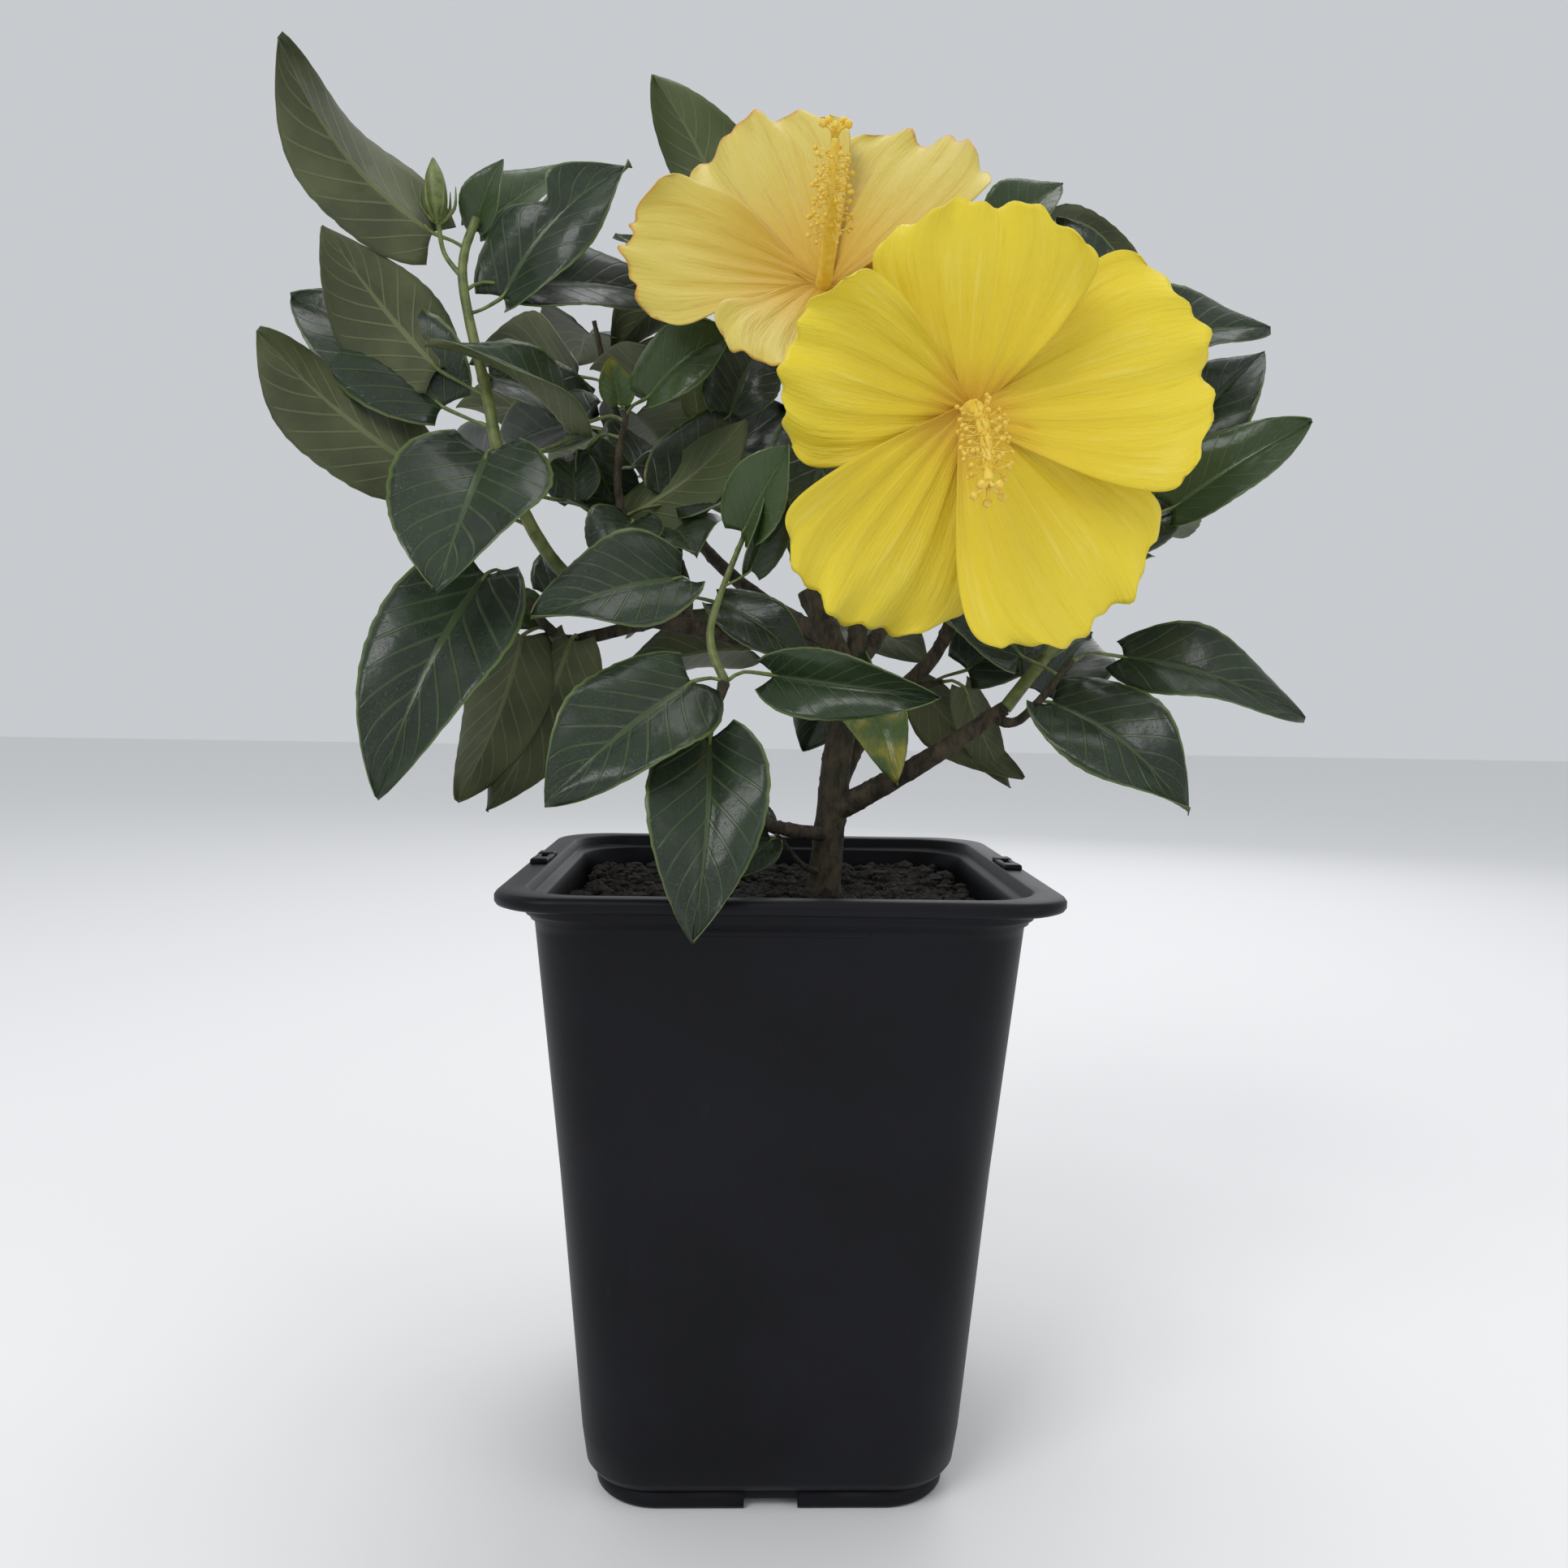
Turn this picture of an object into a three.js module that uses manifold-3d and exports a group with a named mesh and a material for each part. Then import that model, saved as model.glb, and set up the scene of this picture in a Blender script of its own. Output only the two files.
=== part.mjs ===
// Yellow-flowered hibiscus shrub in its square nursery pot.
// Millimetres, +Z up. The origin is the middle of the pot's flat underside and the front is -Y.
import * as THREE from 'three';
import { mergeVertices } from 'three/addons/utils/BufferGeometryUtils.js';
import Module from 'manifold-3d';

const wasm = await Module();
wasm.setup();

// ---- driving dimensions ----
const POT = {
  rim: 200, collar: 182, body: 176, base: 140, foot: 133,
  height: 233, lip: 5, collarDrop: 9.5, footHeight: 7, wall: 2.5,
  rimCorner: 24,
};
const POT_SIDES = 20;            // points round the pot, five on each rounded corner
const NOTCH = { width: 20, depth: 24, height: 3.4 };
const CLIP = { length: 27, width: 7, height: 2.5, slot: 12 };
const SOIL_TOP = POT.footHeight + 212;
const SOIL_LUMP = 2;
const GAP = 0.45;                // clearance between pieces that touch

const LIMB_SIDES = 7;
const CORE_RADIUS = 3.5;         // hidden stem inside a mass of leaves
const STALK_RADIUS = 1.7;
const STALK_HOLD = 5;            // how far a stalk runs on into its blade
const LEAF_THICKNESS = 4;
const FOLDED_ROLL = 40;          // degrees that a folded leaf is turned about its length
// The way leaves turn their faces, on the shrub's front and behind it.
const FRONT_LOOK = new THREE.Vector3(0, -0.85, 0.5);
const BACK_LOOK = new THREE.Vector3(0, 0.6, 0.8);
const BACK_FROM = 25;
const LEAF_BOW = 0.08;           // how far a blade arches, as a share of its length
const PETAL_COUNT = 5;
const BLOOM_SIDES = 18;
const COLUMN = { foot: 3, tip: 5 };   // radii, the tip's with its anthers

const COLOURS = {
  plastic: [0x1b1b20, 0.45], compost: [0x1c1815, 0.95], bark: [0x3f3829, 0.9],
  greenStem: [0x6f7538, 0.6], leaf: [0x35422c, 0.4], petal: [0xd8c540, 0.6],
};

// ---- the shrub's growth ----
// A limb leaves its parent at a share of the parent's length and runs on in straight reaches of
// [heading, rise, length]. Heading 0 is to the right and 90 to the back. `foot` and `tip` are
// radii, and `enters` is the share of its length at which a limb enters its leaves or its bloom.
const TRUNK_FOOT = new THREE.Vector3(19, 0, SOIL_TOP);
const ROOT_FLARE = 1.8;
const LIMBS = {
  trunk: { foot: 6.9, tip: 4.6, reaches: [[10, 85, 10], [10, 85, 42], [15, 85, 37], [155, 65, 40]] },
  bough_right: { from: 'trunk', at: 0.27, foot: 5, tip: 2.9, reaches: [[-20, 30, 42], [-10, 35, 40]] },
  bough_right_tip: { from: 'bough_right', at: 1, foot: 2.7, tip: 1, enters: 0.47,
    reaches: [[15, 50, 28], [20, 45, 34], [30, 55, 30], [100, 85, 30], [165, 75, 50]] },
  bough_bloom: { from: 'trunk', at: 0.3, foot: 3.6, tip: 1.8, enters: 0.89,
    reaches: [[35, 60, 40], [-30, 45, 42], [-55, 70, 46], [-105, 45, 30], [-100, 20, 40]] },
  bough_centre: { from: 'trunk', at: 0.68, foot: 4.4, tip: 1, enters: 0.52,
    reaches: [[60, 60, 22], [90, 85, 62], [170, 80, 40], [85, 75, 80]] },
  stalk_bloom_back: { from: 'bough_centre', at: 0.43, foot: 1.9, tip: 2, enters: 0.8,
    reaches: [[-125, 60, 54], [-100, 50, 24]] },
  bough_left: { from: 'trunk', at: 0.68, foot: 4.8, tip: 3.1,
    reaches: [[-145, 25, 24], [-160, 15, 25], [-175, 10, 36]] },
  bough_left_low: { from: 'bough_left', at: 1, foot: 2.9, tip: 1.2, enters: 0.34,
    reaches: [[170, -15, 25], [-170, 0, 14], [-130, 40, 34]] },
  stem_upper_left: { from: 'bough_left', at: 0.96, foot: 3, tip: 1.6, enters: 0.35,
    reaches: [[175, 25, 42], [-145, 55, 43], [165, 75, 30], [150, 75, 46], [50, 75, 24]] },
  stem_mid: { from: 'bough_left', at: 0.96, foot: 2.7, tip: 1.2, enters: 0.39,
    reaches: [[115, 60, 20], [145, 55, 26], [150, 80, 22], [-20, 80, 26]] },
  stem_back: { from: 'bough_left', at: 0.85, foot: 2.7, tip: 1, enters: 0.49,
    reaches: [[95, 40, 27], [110, 55, 27], [45, 70, 42], [20, 70, 36], [180, 85, 56]] },
  bough_front: { from: 'trunk', at: 0.2, foot: 3, tip: 1.7, enters: 0.79,
    reaches: [[-130, 10, 40], [-120, 30, 32], [-125, 40, 22], [10, 75, 25]] },
  stem_front: { from: 'bough_front', at: 1, foot: 1.7, tip: 0.9, enters: 0.62,
    reaches: [[120, 60, 22], [20, 70, 37]] },
  bough_back_right: { from: 'trunk', at: 0.69, foot: 3.8, tip: 1, enters: 0.5,
    reaches: [[50, 40, 36], [55, 45, 39], [60, 70, 65], [-60, 65, 60], [-85, 40, 24]] },
  bough_back_left: { from: 'trunk', at: 0.83, foot: 3.8, tip: 1.1, enters: 0.6,
    reaches: [[135, 25, 43], [140, 35, 40], [155, 50, 60], [-140, 70, 55]] },
  twig_inner: { from: 'bough_left', at: 0.89, foot: 2.2, tip: 1, enters: 0,
    reaches: [[95, 55, 20], [85, 65, 25]] },
  twig_fork: { from: 'trunk', at: 0.66, foot: 2, tip: 1, enters: 0, reaches: [[-50, 5, 16]] },
  twig_right_low: { from: 'bough_right', at: 0.93, foot: 2.2, tip: 0.9, enters: 0,
    reaches: [[-40, -5, 12], [-15, 50, 30]] },
  twig_low_back: { from: 'bough_bloom', at: 0.29, foot: 1.8, tip: 1, enters: 0, reaches: [[5, 10, 18]] },
  twig_back_low: { from: 'trunk', at: 0.8, foot: 2.4, tip: 1, enters: 0,
    reaches: [[125, 10, 27], [90, -15, 29]] },
  twig_foot: { from: 'trunk', at: 0.08, foot: 1.6, tip: 0.8, enters: 0,
    reaches: [[-130, 15, 15], [-150, 45, 18]] },
};

// A mass of leaves sits on a span of its limb. Its outer leaves are
// [kind, share of the limb, stalk's heading, stalk's length, heading, rise, length, width as a share].
// Kinds: g dark, m mid green, u underside turned out, y yellowish, f folded, b bitten. `fill` more
// leaves are dealt round the side that the mass faces, by the seeded rule in dealtLeaves.
const MASSES = {
  foliage_left: { limb: 'stem_upper_left', span: [0.35, 0.58], faces: 110, fill: 3, seed: 21, leaves: [
    ['f', 0.5, 30, 30, 215, 30, 62, 0.58], ['g', 0.5, 255, 12, 265, -50, 68, 0.85],
    ['u', 0.35, 195, 45, 210, 35, 70, 0.63]] },
  foliage_top_left: { limb: 'stem_upper_left', span: [0.62, 1], faces: 100, fill: 1, seed: 2, leaves: [
    ['g', 0.68, 95, 30, 35, -10, 50, 0.8], ['u', 0.93, 190, 14, 215, 35, 76, 0.6],
    ['u', 0.62, 185, 20, 205, 50, 60, 0.73], ['m', 0.97, 90, 6, 330, 65, 27, 0.63],
    ['m', 0.97, 90, 10, 30, 40, 50, 0.52], ['b', 0.8, 25, 14, 0, 55, 70, 0.57]] },
  foliage_left_low: { limb: 'bough_left_low', span: [0.34, 1], faces: 130, fill: 1, seed: 3, leaves: [
    ['g', 1, 245, 11, 235, -55, 90, 0.56], ['u', 0.58, 210, 12, 230, -70, 68, 0.5],
    ['u', 0.42, 260, 10, 205, -65, 72, 0.53], ['m', 0.6, 120, 10, 195, 20, 27, 0.67]] },
  foliage_mid: { limb: 'stem_mid', span: [0.39, 1], faces: 95, fill: 3, seed: 4, leaves: [
    ['m', 0.95, 315, 13, 350, 40, 45, 0.7], ['y', 0.97, 200, 4, 250, 70, 18, 0.78],
    ['u', 0.5, 90, 9, 345, 35, 62, 0.58], ['g', 0.85, 150, 17, 60, -50, 44, 0.6],
    ['g', 0.45, 180, 24, 105, 55, 28, 0.78], ['g', 0.5, 300, 8, 260, -30, 44, 0.68]] },
  foliage_centre: { limb: 'stem_back', span: [0.49, 1], faces: 125, fill: 2, seed: 5, leaves: [
    ['g', 0.62, 140, 17, 155, 15, 49, 0.7], ['g', 0.53, 345, 13, 30, 65, 38, 0.9],
    ['m', 0.55, 180, 4, 230, 70, 21, 0.67], ['f', 0.76, 200, 15, 170, 45, 48, 0.5],
    ['g', 0.9, 180, 6, 180, 35, 31, 0.65], ['m', 0.98, 20, 4, 180, 65, 67, 0.66]] },
  foliage_crown: { limb: 'bough_centre', span: [0.52, 1], faces: 70, fill: 3, seed: 6, leaves: [
    ['m', 1, 90, 5, 30, 60, 39, 0.77], ['g', 0.55, 255, 17, 240, -55, 66, 0.67]] },
  foliage_inner: { limb: 'twig_inner', span: [0.2, 1], faces: 90, fill: 0, seed: 7, leaves: [
    ['g', 1, 135, 5, 280, -15, 42, 0.86], ['g', 0.25, 0, 15, 345, -30, 48, 0.5],
    ['g', 0.35, 275, 35, 210, -15, 60, 0.67]] },
  foliage_front_low: { limb: 'bough_front', span: [0.79, 1], faces: 270, fill: 0, seed: 8, leaves: [
    ['g', 1, 195, 12, 220, -35, 68, 0.7], ['g', 0.84, 270, 7, 275, -60, 74, 0.57],
    ['f', 1, 15, 18, 335, -5, 62, 0.5]] },
  foliage_front: { limb: 'stem_front', span: [0.62, 1], faces: 270, fill: 0, seed: 9, leaves: [
    ['m', 0.95, 270, 5, 320, 50, 35, 0.8], ['f', 0.62, 340, 12, 0, 75, 36, 0.55]] },
  foliage_fork: { limb: 'twig_fork', span: [0.3, 1], faces: 270, fill: 0, seed: 10, leaves: [
    ['y', 1, 210, 7, 295, -45, 46, 0.57]] },
  foliage_right_low: { limb: 'twig_right_low', span: [0.15, 1], faces: 130, fill: 2, seed: 11, leaves: [
    ['g', 1, 25, 25, 335, -15, 71, 0.48], ['g', 0.5, 340, 6, 320, -30, 68, 0.65]] },
  foliage_low_back: { limb: 'twig_low_back', span: [0.2, 1], faces: 70, fill: 1, seed: 12, leaves: [
    ['u', 0.5, 90, 4, 345, -45, 57, 0.46], ['u', 1, 330, 10, 15, -65, 46, 0.43]] },
  foliage_right: { limb: 'bough_right_tip', span: [0.47, 1], faces: 120, fill: 3, seed: 13, leaves: [
    ['m', 0.57, 340, 16, 335, 30, 60, 0.57], ['g', 0.65, 15, 13, 345, 55, 64, 0.62],
    ['g', 0.95, 280, 7, 340, 10, 58, 0.69], ['g', 0.66, 20, 10, 180, -65, 30, 1.1],
    ['g', 1, 90, 5, 155, 65, 56, 0.71], ['g', 0.5, 230, 8, 250, -20, 48, 0.62]] },
  foliage_back_right: { limb: 'bough_back_right', span: [0.5, 1], faces: 60, fill: 6, seed: 14, leaves: [
    ['m', 1, 275, 4, 0, 40, 37, 0.8]] },
  foliage_back_left: { limb: 'bough_back_left', span: [0.6, 1], faces: 115, fill: 7, seed: 15,
    leaves: [] },
  foliage_back_low: { limb: 'twig_back_low', span: [0.3, 1], faces: 90, fill: 3, seed: 16, leaves: [
    ['b', 0.3, 330, 20, 165, -70, 45, 0.75]] },
  foliage_foot: { limb: 'twig_foot', span: [0.2, 1], faces: 270, fill: 0, seed: 17, leaves: [
    ['g', 1, 150, 4, 150, 40, 22, 0.6], ['g', 0.95, 215, 4, 215, -40, 24, 0.7]] },
};

// A bloom opens at the end of its limb. `tilt` is how far it looks up, its petals are
// [angle round the bloom, length, width], and its column runs on in reaches from the throat.
const BLOOMS = {
  bloom_front: { limb: 'bough_bloom', tilt: -14, flare: 0.22,
    petals: [[90, 66, 76], [15, 80, 84], [-55, 86, 84], [-120, 82, 80], [165, 66, 70]],
    column: [[-90, -5, 12], [-90, -25, 15], [-90, -45, 17], [-95, -55, 14]] },
  bloom_back: { limb: 'stalk_bloom_back', tilt: 32, flare: 0.34,
    petals: [[115, 76, 74], [55, 80, 74], [-20, 58, 66], [-100, 62, 70], [180, 74, 64]],
    column: [[-85, 30, 12], [-90, 35, 17], [-90, 40, 16], [-90, 55, 14]] },
};
const DEALT = {
  around: 150, wander: 20, rise: [-20, 40], length: [58, 74], width: 0.66, stalk: 0.3,
};
const STALK_RISE = 10;           // degrees that a stalk lifts over a third of its blade's rise

const GREEN_LIMBS = ['bough_right_tip', 'stem_upper_left', 'stem_mid', 'stem_back', 'stem_front'];

function wayOf(heading, rise) {
  const turn = THREE.MathUtils.degToRad(heading);
  const lift = THREE.MathUtils.degToRad(rise);
  return new THREE.Vector3(
    Math.cos(turn) * Math.cos(lift), Math.sin(turn) * Math.cos(lift), Math.sin(lift),
  );
}

// The stations [x, y, z, radius] that a walk along the reaches passes.
function walk(start, reaches, foot, tip) {
  const place = start.clone();
  const whole = reaches.reduce((sum, reach) => sum + reach[2], 0);
  const stations = [[...place, foot]];
  let gone = 0;
  for (const [heading, rise, length] of reaches) {
    place.addScaledVector(wayOf(heading, rise), length);
    gone += length;
    stations.push([...place, THREE.MathUtils.lerp(foot, tip, gone / whole)]);
  }
  return stations;
}

// The share of a path's length at each of its stations.
function sharesOf(path) {
  const at = [0];
  for (let i = 1; i < path.length; i += 1) {
    at.push(at[i - 1] + Math.hypot(...[0, 1, 2].map((k) => path[i][k] - path[i - 1][k])));
  }
  return at.map((length) => length / at[at.length - 1]);
}

function stationAt(path, share) {
  const at = sharesOf(path);
  let i = 0;
  while (i < path.length - 2 && share > at[i + 1]) i += 1;
  const within = (share - at[i]) / (at[i + 1] - at[i]);
  return path[i].map((value, k) => THREE.MathUtils.lerp(value, path[i + 1][k], within));
}

function placeAt(path, share) {
  return new THREE.Vector3(...stationAt(path, share).slice(0, 3));
}

function portion(path, from, to) {
  const at = sharesOf(path);
  const inner = path.filter((_, i) => at[i] > from + 0.02 && at[i] < to - 0.02);
  return [stationAt(path, from), ...inner, stationAt(path, to)];
}

const PATHS = {};
for (const [name, { from, at, foot, tip, reaches }] of Object.entries(LIMBS)) {
  const start = from ? placeAt(PATHS[from], at) : TRUNK_FOOT.clone().setZ(SOIL_TOP + GAP);
  PATHS[name] = walk(start, reaches, foot, tip);
}
PATHS.trunk[0][3] += ROOT_FLARE;

// A number from 0 to 1 that looks random and is the same for the same seed.
function deal(seed) {
  const wave = Math.sin(seed * 12.9898) * 43758.5453;
  return wave - Math.floor(wave);
}

// Leaves dealt by the shrub's two-fifths spiral, squeezed to the side that the mass faces.
function dealtLeaves({ span, faces, fill, seed }) {
  const leaves = [];
  for (let i = 0; i < fill; i += 1) {
    const pick = (range, n) => THREE.MathUtils.lerp(...range, deal(seed * 10 + i + n));
    const turn = ((i * 2) / 5) % 1 - 0.4;
    const heading = faces + DEALT.around * turn + pick([-DEALT.wander, DEALT.wander], 0.1);
    const length = pick(DEALT.length, 0.5);
    const share = THREE.MathUtils.lerp(...span, (i + 0.6) / fill);
    const kind = i % 4 === 3 ? 'm' : 'g';
    const stalk = DEALT.stalk * length;
    leaves.push([kind, share, heading, stalk, heading, pick(DEALT.rise, 0.3), length, DEALT.width]);
  }
  return leaves;
}

const group = new THREE.Group();
const made = [];

// ---- solids ----
function toSolid(geometry) {
  geometry.deleteAttribute('normal');
  geometry.deleteAttribute('uv');
  const merged = mergeVertices(geometry, 1e-3);
  const at = merged.attributes.position;
  const corner = [new THREE.Vector3(), new THREE.Vector3(), new THREE.Vector3()];
  const index = [];
  let volume = 0;
  for (let i = 0; i < merged.index.count; i += 3) {
    const abc = [0, 1, 2].map((k) => merged.index.getX(i + k));
    if (new Set(abc).size < 3) continue;
    abc.forEach((vertex, k) => corner[k].fromBufferAttribute(at, vertex));
    volume += corner[0].dot(corner[1].clone().cross(corner[2]));
    index.push(...abc);
  }
  if (volume < 0) index.reverse();
  const mesh = new wasm.Mesh({
    numProp: 3,
    vertProperties: new Float32Array(at.array),
    triVerts: new Uint32Array(index),
  });
  return new wasm.Manifold(mesh);
}

function join(solids) {
  return solids.reduce((sum, solid) => sum.add(solid));
}

// The largest connected body in a solid's mesh, found by joining the triangles that share corners.
function largestBody(mesh) {
  const owner = Array.from({ length: mesh.vertProperties.length / 3 }, (_, i) => i);
  const rootOf = (i) => {
    while (owner[i] !== i) i = owner[i];
    return i;
  };
  const tri = mesh.triVerts;
  for (let i = 0; i < tri.length; i += 3) {
    for (const k of [1, 2]) owner[rootOf(tri[i + k])] = rootOf(tri[i]);
  }
  const corner = (i) => new THREE.Vector3().fromArray(mesh.vertProperties, tri[i] * 3);
  const volumes = new Map();
  for (let i = 0; i < tri.length; i += 3) {
    const root = rootOf(tri[i]);
    const volume = corner(i).dot(corner(i + 1).cross(corner(i + 2)));
    volumes.set(root, (volumes.get(root) ?? 0) + volume);
  }
  const [best] = [...volumes].reduce((a, b) => (b[1] > a[1] ? b : a));
  return Array.from(tri).filter((_, i) => rootOf(tri[i - (i % 3)]) === best);
}

// A piece is cut clear of every piece made before it, then kept as one body.
function addPiece(name, colour, build) {
  let solid = build(0);
  for (const earlier of made) solid = solid.subtract(earlier);
  made.push(build(GAP));
  const mesh = solid.getMesh();
  const geometry = new THREE.BufferGeometry();
  geometry.setAttribute('position', new THREE.BufferAttribute(mesh.vertProperties, 3));
  geometry.setIndex(largestBody(mesh));
  geometry.computeVertexNormals();
  const [color, roughness] = COLOURS[colour];
  const piece = new THREE.Mesh(
    geometry,
    new THREE.MeshStandardMaterial({ color, roughness, metalness: 0 }),
  );
  piece.name = name;
  group.add(piece);
}

// ---- pot and compost: turned profiles squared up to a rounded-square plan ----
function squaredLathe(profile, corner) {
  const outline = profile.map(([half, z]) => new THREE.Vector2(half, z));
  const geometry = new THREE.LatheGeometry(outline, POT_SIDES).rotateX(Math.PI / 2);
  const at = geometry.attributes.position;
  const perCorner = POT_SIDES / 4;
  for (let i = 0; i < at.count; i += 1) {
    const half = Math.hypot(at.getX(i), at.getY(i));
    if (half < 1e-6) continue;
    const turn = Math.atan2(at.getY(i), at.getX(i)) / (Math.PI / 2) + 4;
    const step = Math.round(turn * perCorner) % POT_SIDES;
    const side = Math.floor(step / perCorner);
    const arc = ((step % perCorner) / (perCorner - 1) + side) * (Math.PI / 2);
    const middle = (side + 0.5) * (Math.PI / 2);
    const radius = Math.min(corner, half * 0.4);
    const inset = (half - radius) * Math.SQRT2;
    at.setX(i, inset * Math.cos(middle) + radius * Math.cos(arc));
    at.setY(i, inset * Math.sin(middle) + radius * Math.sin(arc));
  }
  return geometry;
}

function boxAt(width, depth, height, x, y, z) {
  return toSolid(new THREE.BoxGeometry(width, depth, height).translate(x, y, z));
}

function potSolid() {
  const { height, lip, wall, footHeight } = POT;
  const underLip = height - lip;
  const underCollar = height - POT.collarDrop;
  const inside = POT.body / 2 - wall;
  const shell = toSolid(squaredLathe([
    [0, footHeight], [POT.base / 2, footHeight], [POT.body / 2, underCollar - 1.5],
    [POT.body / 2 + 1.5, underCollar - 1.5], [POT.collar / 2, underCollar],
    [POT.collar / 2, underLip], [POT.rim / 2 - 1, underLip], [POT.rim / 2, underLip + 1.5],
    [POT.rim / 2, height - 1.5], [POT.rim / 2 - 1.5, height], [inside + 4, height],
    [inside + 3, height - 4], [inside, height - 5],
    [POT.base / 2 - wall, footHeight + wall], [0, footHeight + wall],
  ], POT.rimCorner));
  const foot = toSolid(squaredLathe([
    [0, 0], [POT.foot / 2 - 2, 0], [POT.foot / 2, footHeight + 0.5], [0, footHeight + 0.5],
  ], POT.rimCorner));
  const notches = [];
  for (const side of [-1, 1]) {
    const reach = side * POT.foot / 2;
    notches.push(boxAt(NOTCH.width, NOTCH.depth * 2, NOTCH.height * 2, 0, reach, 0));
    notches.push(boxAt(NOTCH.depth * 2, NOTCH.width, NOTCH.height * 2, reach, 0, 0));
  }
  const clips = [];
  for (const side of [-1, 1]) {
    const x = side * (POT.rim / 2 - CLIP.width / 2 - 2);
    const z = height + CLIP.height / 2 - 0.5;
    const clip = boxAt(CLIP.width, CLIP.length, CLIP.height + 1, x, 0, z);
    clips.push(clip.subtract(boxAt(2, CLIP.slot, CLIP.height * 2, x, 0, z + CLIP.height)));
  }
  const tab = boxAt(60, 6, 3, 0, -POT.body / 2 + 1.5, underCollar - 2.5);
  return join([shell, foot.subtract(join(notches)), ...clips, tab]);
}

function soilSolid(extra) {
  const { wall, footHeight } = POT;
  const floor = footHeight + wall + 2 * GAP;
  const halfAt = (z) => {
    const rise = (z - footHeight - wall) / (POT.height - 5 - footHeight - wall);
    return THREE.MathUtils.lerp(POT.base, POT.body, rise) / 2 - wall - 1.6;
  };
  const top = halfAt(SOIL_TOP);
  const rings = [0.75, 0.4].map((share) => [top * share, SOIL_TOP]);
  const profile = [[0, floor], [halfAt(floor), floor], [top, SOIL_TOP - 3], ...rings, [0, SOIL_TOP]];
  const geometry = squaredLathe(profile, POT.rimCorner);
  const at = geometry.attributes.position;
  for (let i = 0; i < at.count; i += 1) {
    const [x, y, z] = [at.getX(i), at.getY(i), at.getZ(i)];
    const away = Math.hypot(x - TRUNK_FOOT.x, y - TRUNK_FOOT.y);
    if (z < SOIL_TOP - 1 || away < 30) continue;
    at.setZ(i, z + SOIL_LUMP * Math.sin(x * 0.11) * Math.cos(y * 0.09 + x * 0.03) + extra);
  }
  return toSolid(geometry);
}

// ---- limbs: a cylinder bent along a curve, with its radius set at each point ----
function bentCylinder(stations, extra = 0, sides = LIMB_SIDES, perSpan = 1) {
  const curve = new THREE.CatmullRomCurve3(stations.map(([x, y, z]) => new THREE.Vector3(x, y, z)));
  const spans = stations.length - 1;
  const steps = spans * perSpan;
  const geometry = new THREE.CylinderGeometry(1, 1, 1, sides, steps);
  const at = geometry.attributes.position;
  const across = new THREE.Vector3();
  for (let i = 0; i < at.count; i += 1) {
    const t = THREE.MathUtils.clamp(at.getY(i) + 0.5, 0, 1);
    const span = Math.min(Math.floor(t * spans), spans - 1);
    const share = t * spans - span;
    const radius = THREE.MathUtils.lerp(stations[span][3], stations[span + 1][3], share) + extra;
    const along = curve.getTangent(t);
    const side = new THREE.Vector3(0, 1, 0).cross(along).normalize();
    across.crossVectors(along, side);
    const place = curve.getPoint(t)
      .addScaledVector(side, at.getX(i) * radius)
      .addScaledVector(across, at.getZ(i) * radius);
    at.setXYZ(i, place.x, place.y, place.z);
  }
  return toSolid(geometry);
}

// ---- leaves: a lobe with a heart-shaped base and a pointed tip ----
// Each ring is [share of the length, share of half the width].
const LEAF_RINGS = [[0, 0], [0.22, 1], [0.66, 0.84], [1, 0]];

function leafLobe(path, leaf, extra) {
  const [kind, share, stalkHeading, stalk, heading, rise, length, widthShare] = leaf;
  const width = length * widthShare;
  const roll = kind === 'f' ? FOLDED_ROLL : 0;
  const along = wayOf(heading, rise);
  const foot = placeAt(path, share).addScaledVector(wayOf(stalkHeading, rise / 3 + STALK_RISE), stalk);
  const side = (foot.y > BACK_FROM ? BACK_LOOK : FRONT_LOOK).clone().cross(along).normalize();
  side.applyAxisAngle(along, THREE.MathUtils.degToRad(roll));
  const face = new THREE.Vector3().crossVectors(along, side);
  const last = LEAF_RINGS.length - 1;
  const geometry = new THREE.SphereGeometry(1, 4, last);
  const at = geometry.attributes.position;
  for (let i = 0; i < at.count; i += 1) {
    const ring = Math.round((Math.acos(THREE.MathUtils.clamp(at.getY(i), -1, 1)) / Math.PI) * last);
    const [blade, spread] = LEAF_RINGS[ring];
    const around = Math.atan2(at.getZ(i), at.getX(i));
    const half = spread > 0 ? spread * width / 2 + extra : 0;
    const thick = spread > 0 ? spread * LEAF_THICKNESS / 2 + extra : 0;
    const place = foot.clone().addScaledVector(along, blade * (length + extra));
    place.addScaledVector(face, -LEAF_BOW * length * Math.sin(blade * Math.PI));
    place.addScaledVector(side, Math.cos(around) * half);
    place.addScaledVector(face, Math.sin(around) * thick);
    at.setXYZ(i, place.x, place.y, place.z);
  }
  return { blade: toSolid(geometry), held: foot.addScaledVector(along, STALK_HOLD) };
}

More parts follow.
